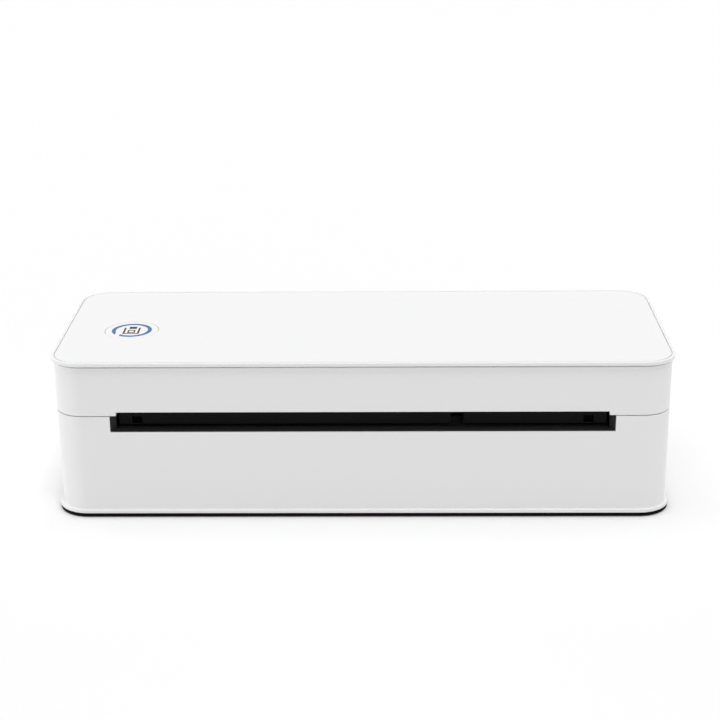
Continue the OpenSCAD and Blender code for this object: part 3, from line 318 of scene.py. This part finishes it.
def shade(colour, factor):
    return tuple(min(1.0, c * factor) for c in colour[:3])


def grey(level):
    return (level, level, level)


def moulded(name, colour, rough=(0.32, 0.42), grain=0.04, grain_scale=2600.0, specular=0.5,
            mottle=0.02):
    """Injection moulded plastic, with a fine spark-eroded grain in its tone, gloss and height."""
    n = Nodes(name)
    grain_noise = n.noise(grain_scale, 3.0, 0.6)
    tone = n.ramp(grain_noise, (0.3, shade(colour, 1.0 - mottle)), (0.7, shade(colour, 1.0)))
    gloss = n.ramp(grain_noise, (0.3, grey(rough[0])), (0.7, grey(rough[1])))
    normal = n.bump(grain_noise, grain, 0.00004)
    n.surface(tone, gloss, normal, Specular_IOR_Level=specular)
    return n.material


def metal(name, colour, rough=(0.22, 0.34), brushed=(1.0, 40.0, 40.0), strength=0.05):
    """Metal with fine drawn lines along one direction, and a faint cloud over its gloss."""
    n = Nodes(name)
    lines = n.noise(260.0, 4.0, 0.65, brushed)
    cloud = n.noise(60.0, 2.0, 0.5)
    tone = n.ramp(cloud, (0.3, shade(colour, 0.9)), (0.7, shade(colour, 1.0)))
    gloss = n.ramp(lines, (0.3, grey(rough[0])), (0.7, grey(rough[1])))
    n.surface(tone, gloss, n.bump(lines, strength, 0.00003), Metallic=1.0)
    return n.material


def rubber(name, colour):
    """Ground rubber: a dense matt grain with small pits."""
    n = Nodes(name)
    pits = n.noise(3200.0, 4.0, 0.7)
    cloud = n.noise(30.0, 2.0, 0.5)
    tone = n.ramp(cloud, (0.3, shade(colour, 0.8)), (0.7, shade(colour, 1.25)))
    gloss = n.ramp(pits, (0.3, grey(0.62)), (0.7, grey(0.8)))
    n.surface(tone, gloss, n.bump(pits, 0.25, 0.00006))
    return n.material


def blend_in(n, factor, under, over):
    """A colour that goes from a linked one to a plain one by a factor."""
    mix = n.tree.nodes.new("ShaderNodeMix")
    mix.data_type = "RGBA"
    n.feed(mix.inputs["Factor"], factor)
    n.feed(mix.inputs["A"], under)
    mix.inputs["B"].default_value = (*over, 1.0)
    return mix.outputs["Result"]


def circuit_board(name, mask_colour, copper):
    """Solder mask over copper tracks, which show through lighter and raised, with bare pads between."""
    n = Nodes(name)
    tracks = n.tree.nodes.new("ShaderNodeTexBrick")
    tracks.offset = 0.37
    tracks.offset_frequency = 3
    tracks.squash = 0.6
    tracks.squash_frequency = 4
    n.feed(tracks.inputs["Vector"], n.coords(1.0))
    black = (0.0, 0.0, 0.0, 1.0)
    track_sizes = {
        "Scale": 1 / MM, "Mortar Size": 0.16, "Mortar Smooth": 0.3, "Brick Width": 17.0,
        "Row Height": 1.3, "Color1": black, "Color2": black, "Mortar": WHITE_LIGHT,
    }
    for socket, value in track_sizes.items():
        tracks.inputs[socket].default_value = value
    pads = n.tree.nodes.new("ShaderNodeTexVoronoi")
    n.feed(pads.inputs["Vector"], n.coords(1.0))
    pads.inputs["Scale"].default_value = 210.0
    pad = n.ramp(pads.outputs["Distance"], (0.09, grey(1)), (0.11, grey(0)))
    mask = n.ramp(tracks.outputs["Color"], (0.0, mask_colour), (1.0, shade(mask_colour, 2.1)))
    weave = n.noise(1500.0, 2.0, 0.5)
    gloss = n.ramp(weave, (0.3, grey(0.25)), (0.7, grey(0.36)))
    rise = n.bump(tracks.outputs["Color"], 0.3, 0.00004)
    n.surface(blend_in(n, pad, mask, copper), gloss, rise)
    return n.material


def ceramic(name, colour, heater):
    """Glazed ceramic strip with a faint mottle, and the dark line of heater dots over the platen."""
    n = Nodes(name)
    mottle = n.noise(220.0, 3.0, 0.6)
    place = n.tree.nodes.new("ShaderNodeSeparateXYZ")
    n.tree.links.new(n.coords(1.0), place.inputs[0])
    line = n.tree.nodes.new("ShaderNodeMath")
    line.operation = "COMPARE"
    n.tree.links.new(place.outputs["Y"], line.inputs[0])
    line.inputs[1].default_value = PLATEN_Y * MM
    line.inputs[2].default_value = HEATER_HALF * MM
    glaze = n.ramp(mottle, (0.3, shade(colour, 0.85)), (0.7, shade(colour, 1.1)))
    gloss = n.ramp(mottle, (0.3, grey(0.16)), (0.7, grey(0.24)))
    rise = n.bump(mottle, 0.05, 0.00003)
    n.surface(blend_in(n, line.outputs[0], glaze, heater), gloss, rise, Coat_Weight=0.4)
    return n.material


WHITE = (0.87, 0.87, 0.872)
BOARD_GREEN = (0.008, 0.075, 0.035)
COPPER = (0.72, 0.5, 0.2)
HEATER_BLACK = (0.012, 0.009, 0.008)
GUIDE_GREY = (0.06, 0.062, 0.065)
BLACK_GRAIN = 2200.0
LOOKS = {
    "white_shell": moulded("white shell", WHITE, (0.32, 0.36), 0.025, mottle=0.006),
    "white_gloss": moulded("white gloss", WHITE, (0.25, 0.27), 0.01, mottle=0.003),
    "black_plastic": moulded("black plastic", (0.0048, 0.0048, 0.0052), (0.38, 0.5), 0.12, BLACK_GRAIN, 0.1),
    "grey_plastic": moulded("grey plastic", (0.52, 0.53, 0.54), (0.34, 0.44), 0.06),
    "gear_plastic": moulded("gear plastic", (0.74, 0.71, 0.62), (0.26, 0.36), 0.03),
    "blue_light": moulded("blue light guide", (0.018, 0.125, 0.37), (0.3, 0.36), 0.01, specular=0.2),
    "icon_grey": moulded("icon print", (0.035, 0.032, 0.034), (0.45, 0.55), 0.02, specular=0.15),
    "steel": metal("zinc plated steel", (0.60, 0.61, 0.63)),
    "polished_steel": metal("ground steel", (0.70, 0.71, 0.73), (0.14, 0.22), (1.0, 60.0, 60.0), 0.03),
    "aluminium": metal("extruded aluminium", (0.72, 0.73, 0.75), (0.3, 0.42), (1.0, 50.0, 50.0), 0.08),
    "ceramic_strip": ceramic("ceramic strip", (0.24, 0.16, 0.12), HEATER_BLACK),
    "rubber": rubber("black rubber", grey(0.018)),
    "board": circuit_board("circuit board", BOARD_GREEN, COPPER),
    "cell_wrap": moulded("cell wrap", (0.03, 0.12, 0.38), (0.22, 0.3), 0.02),
}
# CAD nodes whose moulding differs from the look of their slot. The slot frame's lighter black is partly its
# own dark grey and partly painted sheen for the reflection on its ledge
NODE_LOOKS = {
    # Slot frame: lighter black, partly its own tone and partly a painted reflection on its lower ledge
    "front_bezel": moulded("slot frame with painted sheen", (0.011, 0.011, 0.0115), (0.34, 0.42), 0.08, BLACK_GRAIN, 0.3),
    "upper_frame": moulded("upper frame", (0.0032, 0.0032, 0.0035), (0.4, 0.5), 0.12, BLACK_GRAIN, 0.08),
    "bottom_cover": moulded("bottom cover", (0.0025, 0.0025, 0.0028), (0.45, 0.55), 0.12, BLACK_GRAIN, 0.05),
    "chassis": moulded("chassis", (0.0070, 0.0070, 0.0073), (0.40, 0.5), 0.12, BLACK_GRAIN, 0.1),
    "left_guide": moulded("left guide", GUIDE_GREY, (0.34, 0.44), 0.08),
    "right_guide": moulded("right guide", GUIDE_GREY, (0.34, 0.44), 0.08),
}
# Near-black, almost unreflecting look of the sheets in the sensor windows: painted shade of the holes
SHADE_PANE_LOOK = moulded("painted shade pane", (0.0005, 0.0005, 0.0006), (0.16, 0.2), 0.01, 900.0, 0.012)


# Mesh building

def arc(cx, cy, r, a0, a1, steps):
    turn = [math.radians(a0 + (a1 - a0) * i / steps) for i in range(steps + 1)]
    return [(cx + r * math.cos(a), cy + r * math.sin(a)) for a in turn]


def outline(out):
    """Plan of the shell moved out by a distance, anticlockwise from the front right corner."""
    points = []
    for sx, sy, a0 in ((1, -1, -90), (1, 1, 0), (-1, 1, 90), (-1, -1, 180)):
        cx, cy = sx * (HALF_W - CORNER_R), sy * (HALF_D - CORNER_R)
        points += arc(cx, cy, CORNER_R + out, a0, a0 + 90, CORNER_STEPS)
    return points


def filleted(corners, steps=FILLET_STEPS):
    """Line through (x, z, radius) corners, with each corner that has a radius rounded."""
    path = []
    for i, (x, z, r) in enumerate(corners):
        here = Vector((x, z))
        if r == 0 or i in (0, len(corners) - 1):
            path.append((x, z))
            continue
        before = (Vector(corners[i - 1][:2]) - here).normalized()
        after = (Vector(corners[i + 1][:2]) - here).normalized()
        half = before.angle(after) / 2
        centre = here + (before + after).normalized() * (r / math.sin(half))
        start = here + before * (r / math.tan(half)) - centre
        end = here + after * (r / math.tan(half)) - centre
        for k in range(steps + 1):
            spot = centre + start.lerp(end, k / steps).normalized() * r
            path.append((spot.x, spot.y))
    return path


def make(name, bm, body, slot, *replaced, smooth=SMOOTH_ANGLE, look=None):
    """Turns a bmesh in millimetres into a piece that rides on a body, if given, and stands for CAD nodes."""
    bmesh.ops.scale(bm, vec=(MM,) * 3, verts=bm.verts)
    bmesh.ops.remove_doubles(bm, verts=bm.verts, dist=1e-7)
    bmesh.ops.recalc_face_normals(bm, faces=bm.faces)
    mesh = bpy.data.meshes.new(name)
    bm.to_mesh(mesh)
    bm.free()
    mesh.materials.append(look or LOOKS[slot])
    piece = bpy.data.objects.new(name, mesh)
    bpy.context.scene.collection.objects.link(piece)
    finish_shading(piece, smooth)
    if body:
        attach(piece, body)
    if replaced:
        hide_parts(*replaced)
    return piece


def finish_shading(piece, angle):
    """Smooth shading up to an angle, with flat faces kept flat beside their rounded edges."""
    mesh = piece.data
    mesh.polygons.foreach_set("use_smooth", [True] * len(mesh.polygons))
    mesh.set_sharp_from_angle(angle=math.radians(angle))
    keep_flat(piece)


def keep_flat(piece):
    weights = piece.modifiers.new("weights", "WEIGHTED_NORMAL")
    weights.keep_sharp = True
    weights.weight = 80


def sweep(bm, profile, closed):
    """Pushes a profile of (outset, height) round the shell's outline. An open one is capped at its ends."""
    rings = [[bm.verts.new((x, y, z)) for x, y in outline(out)] for out, z in profile]
    count = len(rings[0])
    pairs = list(zip(rings, rings[1:] + ([rings[0]] if closed else [])))
    for low, high in pairs[:len(rings) if closed else len(rings) - 1]:
        for i in range(count):
            j = (i + 1) % count
            bm.faces.new((low[i], low[j], high[j], high[i]))
    if not closed:
        bm.faces.new(rings[0])
        bm.faces.new(rings[-1])


def box(bm, low, high):
    made = bmesh.ops.create_cube(bm, size=1.0)["verts"]
    low, high = Vector(low), Vector(high)
    for v in made:
        v.co = Vector(((v.co[k] + 0.5) * (high[k] - low[k]) + low[k] for k in range(3)))
    return made


AXES = {"x": Matrix.Rotation(math.pi / 2, 4, "Y"), "z": Matrix()}


def lathe(bm, profile, axis, centre, steps=64):
    """Turns a closed (radius, height) profile about an axis through a point."""
    frame_of = Matrix.Translation(centre) @ AXES[axis]
    rings = []
    for r, h in profile:
        if r < 1e-6:
            rings.append([bm.verts.new(frame_of @ Vector((0, 0, h)))])
        else:
            rings.append([bm.verts.new(frame_of @ Vector((r * math.cos(a), r * math.sin(a), h)))
                          for a in (2 * math.pi * k / steps for k in range(steps))])
    for low, high in zip(rings, rings[1:] + [rings[0]]):
        for k in range(steps):
            j = (k + 1) % steps
            corners = [low[k % len(low)], low[j % len(low)], high[j % len(high)], high[k % len(high)]]
            face = list(dict.fromkeys(corners))
            if len(face) > 2:
                bm.faces.new(face)


def rod(bm, axis, centre, r, length, edge=0.2, steps=48):
    """Solid cylinder with rounded rims, from a point along an axis."""
    edge = min(edge, r / 2, length / 2)
    side = filleted([(0, 0, 0), (r, 0, edge), (r, length, edge), (0, length, 0)], 3)[1:-1]
    lathe(bm, [(0, 0), *side, (0, length)], axis, centre, steps)


def tube(bm, axis, centre, r, bore, length, edge=0.15, steps=48):
    """Cylinder with a bore, from a point along an axis."""
    side = filleted([(bore, 0, 0), (r, 0, edge), (r, length, edge), (bore, length, 0)], 3)[1:-1]
    lathe(bm, [(bore, 0), *side, (bore, length)], axis, centre, steps)


def cut(bm, *cutters):
    """Takes solids away from a bmesh. Each cutter is a function that fills an empty bmesh."""
    target = bpy.data.meshes.new("target")
    bm.to_mesh(target)
    body = bpy.data.objects.new("target", target)
    bpy.context.scene.collection.objects.link(body)
    knives = []
    for fill in cutters:
        tool = bmesh.new()
        fill(tool)
        bmesh.ops.recalc_face_normals(tool, faces=tool.faces)
        data = bpy.data.meshes.new("knife")
        tool.to_mesh(data)
        tool.free()
        knife = bpy.data.objects.new("knife", data)
        bpy.context.scene.collection.objects.link(knife)
        step = body.modifiers.new("cut", "BOOLEAN")
        step.operation = "DIFFERENCE"
        step.solver = "EXACT"
        step.object = knife
        knives.append(knife)
    bpy.context.view_layer.update()
    result = body.evaluated_get(bpy.context.evaluated_depsgraph_get()).to_mesh()
    bm.clear()
    bm.from_mesh(result)
    for spare in [body, *knives]:
        data = spare.data
        bpy.data.objects.remove(spare)
        bpy.data.meshes.remove(data)


def round_edges(bm, chosen, width, segments=2):
    """Rounds the edges for which chosen(a, b) is true of their two end points."""
    edges = [e for e in bm.edges if chosen(e.verts[0].co, e.verts[1].co)]
    if edges:
        bmesh.ops.bevel(bm, geom=edges, offset=width, segments=segments, profile=0.5, affect="EDGES",
                        clamp_overlap=True)


def on_wall(a, b):
    """Both ends lie on the flat front or rear face."""
    return abs(abs(a.y) - HALF_D) < 1e-3 and abs(abs(b.y) - HALF_D) < 1e-3 and a.y * b.y > 0


def slot_edges(half, low, high):
    """A choice of the slot's edges on the front and rear faces, between two heights."""
    def chosen(a, b):
        inside = max(abs(a.x), abs(b.x)) < half + NEAR
        return on_wall(a, b) and inside and min(a.z, b.z) > low and max(a.z, b.z) < high
    return chosen


def mirrored_box(bm, low, high):
    """A box on the right, and its mirror image on the left."""
    box(bm, low, high)
    box(bm, (-high[0], *low[1:]), (-low[0], *high[1:]))


def x_rod(bm, middle, yz, r, length, edge):
    """Rod along X, about its middle."""
    rod(bm, "x", (middle - length / 2, *yz), r, length, edge)


# Pieces

def knuckle(bm, x, leaf):
    """Hinge knuckle with the leaf that carries it."""
    tube(bm, "x", (x - KNUCKLE_W / 2, *HINGE), KNUCKLE_R, KNUCKLE_BORE, KNUCKLE_W)
    low, high = leaf
    box(bm, (x - KNUCKLE_W / 2, *low), (x + KNUCKLE_W / 2, *high))


def knuckle_room(bm, x):
    """Running room round a knuckle of the other shell."""
    x_rod(bm, x, HINGE, KNUCKLE_R + KNUCKLE_GAP, KNUCKLE_W + 2 * KNUCKLE_GAP, SHARP)


def posts(bm, places, z0, z1):
    """Hollow screw posts."""
    for x, y in places:
        tube(bm, "z", (x, y, z0), POST_R, POST_BORE, z1 - z0, SOFT_R, POST_STEPS)


def button_hole(bm):
    rod(bm, "z", (*BUTTON, BUTTON_HOLE_LOW), BUTTON_HOLE_R, BUTTON_HOLE_H, SHARP, RING_STEPS)


def lower_shell():
    bm = bmesh.new()
    profile = filleted([
        (-WALL, SEAM_Z, 0), (-WALL, BASE_Z, SOFT_R), (FLANGE_OUT, BASE_Z, SOFT_R),
        (FLANGE_OUT, FLANGE_TOP, FULL_R), (0, FLANGE_TOP, FINE_R), (0, LOWER_TOP, FINE_R),
        (-WALL, LOWER_TOP, SOFT_R), (-WALL, SEAM_Z, 0)])[:-1]
    sweep(bm, profile, True)
    cut(bm,
        lambda k: box(k, (-BASE_SLOT_X, -FAR, SLOT_LOW), (BASE_SLOT_X, FAR, FAR)),
        lambda k: [x_rod(k, s * GROOVE_X, HINGE, GROOVE_R, GROOVE_LENGTH, SHARP) for s in SIDES],
        lambda k: [knuckle_room(k, s * COVER_KNUCKLE) for s in SIDES],
        lambda k: mirrored_box(k, *LATCH_WINDOW),
        lambda k: [box(k, (x0, PORT_IN, PORT_LOW), (x1, FAR, top)) for x0, x1, top in PORTS])
    round_edges(bm, slot_edges(BASE_SLOT_X, SLOT_LOW - NEAR, LOWER_ROUND_END), SLOT_ROUND)
    for s in SIDES:
        for x in BASE_KNUCKLES:
            knuckle(bm, s * x, BASE_LEAF)
    posts(bm, BASE_POSTS, *BASE_POST_Z)
    make("lower_shell_skin", bm, "base", "white_shell", "lower_shell")


def cover_shell():
    bm = bmesh.new()
    profile = filleted([
        (-WALL - ROOF_IN, ROOF_Z, 0), (-WALL, ROOF_Z, ROOF_R), (-WALL, UPPER_LOW, SOFT_R),
        (0, UPPER_LOW, FINE_R), (0, SHELL_TOP, SOFT_R), (-SHADOW_INSET, SHELL_TOP, 0),
        (-SHADOW_INSET, PLATE_LOW, 0)])
    sweep(bm, profile, False)
    cut(bm,
        lambda k: box(k, (-COVER_SLOT_X, -FAR, COVER_CUT_LOW), (COVER_SLOT_X, FAR, SLOT_TOP)),
        lambda k: [knuckle_room(k, s * x) for s in SIDES for x in BASE_KNUCKLES],
        button_hole)
    round_edges(bm, slot_edges(COVER_SLOT_X, UPPER_ROUND_END, SLOT_TOP + NEAR), SLOT_ROUND)
    boss_length = INNER_X + KEEPER_SINK - KEEPER_BOSS_X
    for s in SIDES:
        knuckle(bm, s * COVER_KNUCKLE, COVER_LEAF)
        x_rod(bm, s * (STUB_X + STUB_LENGTH / 2), HINGE, STUB_R, STUB_LENGTH, STUB_EDGE)
        x_rod(bm, s * (KEEPER_BOSS_X + boss_length / 2), KEEPER, KEEPER_BOSS_R, boss_length, FULL_R)
    roof = ROOF_Z + OVERLAP
    posts(bm, COVER_POSTS, COVER_POST_LOW, roof)
    posts(bm, FRONT_POSTS, FRONT_POST_LOW, roof)
    posts(bm, [(BUTTON[0] + s * BUTTON_POST_X, BUTTON[1]) for s in SIDES], BUTTON_POST_LOW, roof)
    make("cover_shell_skin", bm, "cover", "white_shell", "cover_shell")


def top_plate():
    bm = bmesh.new()
    rim = PLATE_OUT - RIM_W
    seat = TOTAL_H - PANEL_T
    profile = filleted([
        (-RING_IN, PLATE_LOW, 0), (PLATE_OUT, PLATE_LOW, PLATE_LOW_R), (PLATE_OUT, TOTAL_H, FULL_R),
        (rim, TOTAL_H, FINE_R), (rim, seat, 0), (-RING_IN, seat, 0)])
    sweep(bm, profile, False)
    cut(bm, button_hole)
    make("top_plate_skin", bm, "cover", "white_gloss", "top_plate")


def top_panel():
    bm = bmesh.new()
    edge = PLATE_OUT - RIM_W - GROOVE_W
    low = TOTAL_H - PANEL_T
    profile = filleted([
        (edge - RING_IN, low, 0), (edge, low, 0), (edge, TOTAL_H, FINE_R), (edge - RING_IN, TOTAL_H, 0)])
    sweep(bm, profile, False)
    cut(bm, button_hole)

    def on_hole(p):
        reach = math.hypot(p.x - BUTTON[0], p.y - BUTTON[1])
        return abs(p.z - TOTAL_H) < 1e-3 and abs(reach - BUTTON_HOLE_R) < 0.02

    round_edges(bm, lambda a, b: on_hole(a) and on_hole(b), BUTTON_HOLE_ROUND)
    make("top_panel_skin", bm, "cover", "white_gloss", "top_panel")


def button():
    """The cap, the ring inlaid in it and the sign in the ring's middle."""
    bm = bmesh.new()
    top = TOTAL_H - CAP_DROP
    lathe(bm, filleted([
        (0, top - CAP_T, 0), (CAP_BORE, top - CAP_T, CAP_FILLET), (CAP_BORE, SKIRT_LOW, 0),
        (SKIRT_R, SKIRT_LOW, SOFT_R), (SKIRT_R, SKIRT_TOP, SOFT_R), (BUTTON_R, SKIRT_TOP, 0),
        (BUTTON_R, top, SOFT_R), (0, top, 0)]), "z", (*BUTTON, 0), RING_STEPS)
    rod(bm, "z", (*BUTTON, STEM_LOW), STEM_R, STEM_H, FULL_R)
    make("button_cap_skin", bm, "button", "white_gloss", "button_cap")

    bm = bmesh.new()
    loop = []
    for r, first, last in ((RING_R, 1, 0), (RING_R - RING_W, 0, 1)):
        turns = [180 + math.degrees(math.acos(x / r)) for x in RING_GAP]
        turns[0] += 360
        loop += arc(0, 0, r, turns[first], turns[last], RING_STEPS)
    slab(bm, loop, TOTAL_H - INLAY_T, TOTAL_H)
    make("button_ring_skin", bm, "button", "blue_light", "button_ring")

    bm = bmesh.new()
    cx, cy = BUTTON
    for x0, x1, y0, y1 in pictogram():
        box(bm, (cx + x0, cy + y0, TOTAL_H - INLAY_T), (cx + x1, cy + y1, TOTAL_H))
    make("button_icon_skin", bm, "button", "icon_grey", "button_icon")


def pictogram():
    """Bars (left, right, low, high) of a small sign: a sheet above, and a housing that lets a sheet out."""
    side, foot, arm_top, line = 3.7, 4.9, 3.4, 0.85
    sheet, sheet_low, sheet_top, thin = 1.7, -3.6, 0.4, 0.6
    upper_sheet = (-1.5, 1.9, 2.0, 4.9)
    floor_top = line - foot
    low, high = sheet_low + line, sheet_top - line
    return [
        upper_sheet,
        (-side, line - side, floor_top, arm_top), (side - line, side, floor_top, arm_top),
        (-side, side, -foot, floor_top),
        (-sheet, sheet, high, sheet_top), (-sheet, sheet, sheet_low, low),
        (-sheet, thin - sheet, low, high), (sheet - thin, sheet, low, high),
    ]


def slab(bm, loop, z0, z1):
    """Flat piece from an outline round the button's middle."""
    low = [bm.verts.new((BUTTON[0] + x, BUTTON[1] + y, z0)) for x, y in loop]
    high = [bm.verts.new((BUTTON[0] + x, BUTTON[1] + y, z1)) for x, y in loop]
    bm.faces.new(low)
    bm.faces.new(high)
    for i in range(len(loop)):
        j = (i + 1) % len(loop)
        bm.faces.new((low[i], low[j], high[j], high[i]))


def smooth_group():
    """Geometry nodes that shade smoothly between faces meeting at a small angle."""
    group = bpy.data.node_groups.new("smooth by angle", "GeometryNodeTree")
    group.interface.new_socket("Geometry", in_out="INPUT", socket_type="NodeSocketGeometry")
    group.interface.new_socket("Geometry", in_out="OUTPUT", socket_type="NodeSocketGeometry")
    source = group.nodes.new("NodeGroupInput")
    result = group.nodes.new("NodeGroupOutput")
    angle = group.nodes.new("GeometryNodeInputMeshEdgeAngle")
    sharp = group.nodes.new("FunctionNodeCompare")
    sharp.data_type = "FLOAT"
    sharp.operation = "GREATER_THAN"
    sharp.inputs[1].default_value = math.radians(SMOOTH_ANGLE)
    normals = group.nodes.new("GeometryNodeSetMeshNormal")
    normals.mode = "SHARPNESS"
    normals.inputs["Remove Custom"].default_value = True
    normals.inputs["Face Sharpness"].default_value = False
    group.links.new(angle.outputs["Unsigned Angle"], sharp.inputs[0])
    group.links.new(sharp.outputs[0], normals.inputs["Edge Sharpness"])
    group.links.new(source.outputs[0], normals.inputs["Mesh"])
    group.links.new(normals.outputs[0], result.inputs[0])
    return group


def soften(group, width, name):
    """Rounds the edges of a CAD node whose shape is right, and shades its round faces smoothly."""
    node = nodes[name]
    weld = node.modifiers.new("weld", "WELD")
    weld.merge_threshold = 0.000005
    if width:
        flat = node.modifiers.new("flatten", "DECIMATE")
        flat.decimate_type = "DISSOLVE"
        flat.angle_limit = math.radians(0.5)
        bevel = node.modifiers.new("edges", "BEVEL")
        bevel.width = width * MM
        bevel.segments = 2
        bevel.limit_method = "ANGLE"
        bevel.angle_limit = math.radians(SMOOTH_ANGLE)
    smooth = node.modifiers.new("smooth", "NODES")
    smooth.node_group = group
    keep_flat(node)


def painted_shade_panes():
    """Near-black, almost unreflecting sheets in the two sensor windows in the slot's upper lip: painted
    shade of the holes behind them.
    """
    bm = bmesh.new()
    mirrored_box(bm, *PANE)
    make("painted_shade_panes", bm, "cover", "black_plastic", look=SHADE_PANE_LOOK)


def head_springs():
    """Springs over the print head, from its bracket up to the frame."""
    bm = bmesh.new()
    for x in SPRING_X:
        coil(bm, Vector((x, PLATEN_Y, SPRING_LOW)), SPRING_TOP - SPRING_LOW)
    coils = make("head_coils", bm, None, "steel", "head_springs", smooth=COIL_SMOOTH_ANGLE)
    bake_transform(coils)


def coil(bm, foot, height, turns=6, steps=20, sides=8):
    """Spring of round wire along Z, with closed end turns and open turns between them."""
    open_rise = height - 3 * SPRING_WIRE
    rings = []
    for i in range(turns * steps + 1):
        turn = i / steps
        open_part = min(max((turn - 1) / (turns - 2), 0.0), 1.0)
        closed_part = min(turn, 1.0) + max(turn - turns + 1, 0.0)
        z = SPRING_WIRE / 2 + closed_part * SPRING_WIRE + open_part * open_rise
        a = 2 * math.pi * turn
        ring = []
        for k in range(sides):
            b = 2 * math.pi * k / sides
            reach = SPRING_R + SPRING_WIRE / 2 * math.cos(b)
            spot = Vector((reach * math.cos(a), reach * math.sin(a), z + SPRING_WIRE / 2 * math.sin(b)))
            ring.append(bm.verts.new(foot + spot))
        rings.append(ring)
    for low, high in zip(rings, rings[1:]):
        for k in range(sides):
            j = (k + 1) % sides
            bm.faces.new((low[k], low[j], high[j], high[k]))
    bm.faces.new(rings[0])
    bm.faces.new(rings[-1])


def dress_cad():
    """Gives every CAD node its material, rounded edges and smooth round faces."""
    slot_of = {s["node"]: s["material_slot"] for s in frame["record"]["subparts"]}
    group = smooth_group()
    for name, node in nodes.items():
        node.data.materials.clear()
        node.data.materials.append(NODE_LOOKS.get(name, LOOKS[slot_of[name]]))
        soften(group, EDGES.get(name, EDGE), name)


# Stage

SEEN_RAYS = ("Is Camera Ray", "Is Glossy Ray", "Is Transmission Ray")


def any_of(tree, *kinds):
    """One where a ray is of any of these kinds."""
    path = tree.nodes.new("ShaderNodeLightPath")
    found = path.outputs[kinds[0]]
    for kind in kinds[1:]:
        larger = tree.nodes.new("ShaderNodeMath")
        larger.operation = "MAXIMUM"
        tree.links.new(found, larger.inputs[0])
        tree.links.new(path.outputs[kind], larger.inputs[1])
        found = larger.outputs[0]
    return found


def floor():
    """Pale floor that keeps the object's shadow, with a faint glow for the camera and for reflections."""
    n = Nodes("floor")
    diffuse = n.add("ShaderNodeBsdfDiffuse", Color=FLOOR_COLOUR)
    glow = n.add("ShaderNodeEmission", Color=WHITE_LIGHT)
    level = n.tree.nodes.new("ShaderNodeMath")
    level.operation = "MULTIPLY"
    level.inputs[1].default_value = FLOOR_GLOW
    seen = any_of(n.tree, *SEEN_RAYS)
    n.tree.links.new(seen, level.inputs[0])
    n.tree.links.new(level.outputs[0], glow.inputs["Strength"])
    total = n.tree.nodes.new("ShaderNodeAddShader")
    n.tree.links.new(diffuse.outputs[0], total.inputs[0])
    n.tree.links.new(glow.outputs[0], total.inputs[1])
    n.tree.links.new(total.outputs[0], n.out.inputs["Surface"])
    mesh = bpy.data.meshes.new("floor")
    corners = [(x * FLOOR_SIZE, y * FLOOR_SIZE, 0) for x, y in ((-1, -1), (1, -1), (1, 1), (-1, 1))]
    mesh.from_pydata(corners, [], [(0, 1, 2, 3)])
    mesh.materials.append(n.material)
    piece = bpy.data.objects.new("floor", mesh)
    bpy.context.scene.collection.objects.link(piece)


def sky():
    """White for the camera and for reflections, and a softer fill for the object's own light."""
    world = bpy.data.worlds.new("studio")
    bpy.context.scene.world = world
    world.use_nodes = True
    tree = world.node_tree
    tree.nodes.clear()
    shades = []
    for strength in (SKY_FILL, 1.0):
        background = tree.nodes.new("ShaderNodeBackground")
        background.inputs["Color"].default_value = WHITE_LIGHT
        background.inputs["Strength"].default_value = strength
        shades.append(background.outputs[0])
    mix = tree.nodes.new("ShaderNodeMixShader")
    tree.links.new(any_of(tree, *SEEN_RAYS), mix.inputs[0])
    tree.links.new(shades[0], mix.inputs[1])
    tree.links.new(shades[1], mix.inputs[2])
    out = tree.nodes.new("ShaderNodeOutputWorld")
    tree.links.new(mix.outputs[0], out.inputs["Surface"])


def sun(name, source, strength, spread, glossy):
    """A wide soft light from far away. A low one shows in no reflection, where pale faces would clip."""
    data = bpy.data.lights.new(name, "SUN")
    data.energy = strength
    data.angle = math.radians(spread)
    light = bpy.data.objects.new(name, data)
    light.visible_glossy = glossy
    light.rotation_mode = "QUATERNION"
    light.rotation_quaternion = Vector(source).to_track_quat("Z", "Y")
    bpy.context.scene.collection.objects.link(light)


place_camera()
floor()
sky()
for lamp in LAMPS:
    sun(*lamp)
bpy.context.scene.view_settings.view_transform = "Standard"

dress_cad()
lower_shell()
cover_shell()
top_plate()
top_panel()
button()
painted_shade_panes()
head_springs()
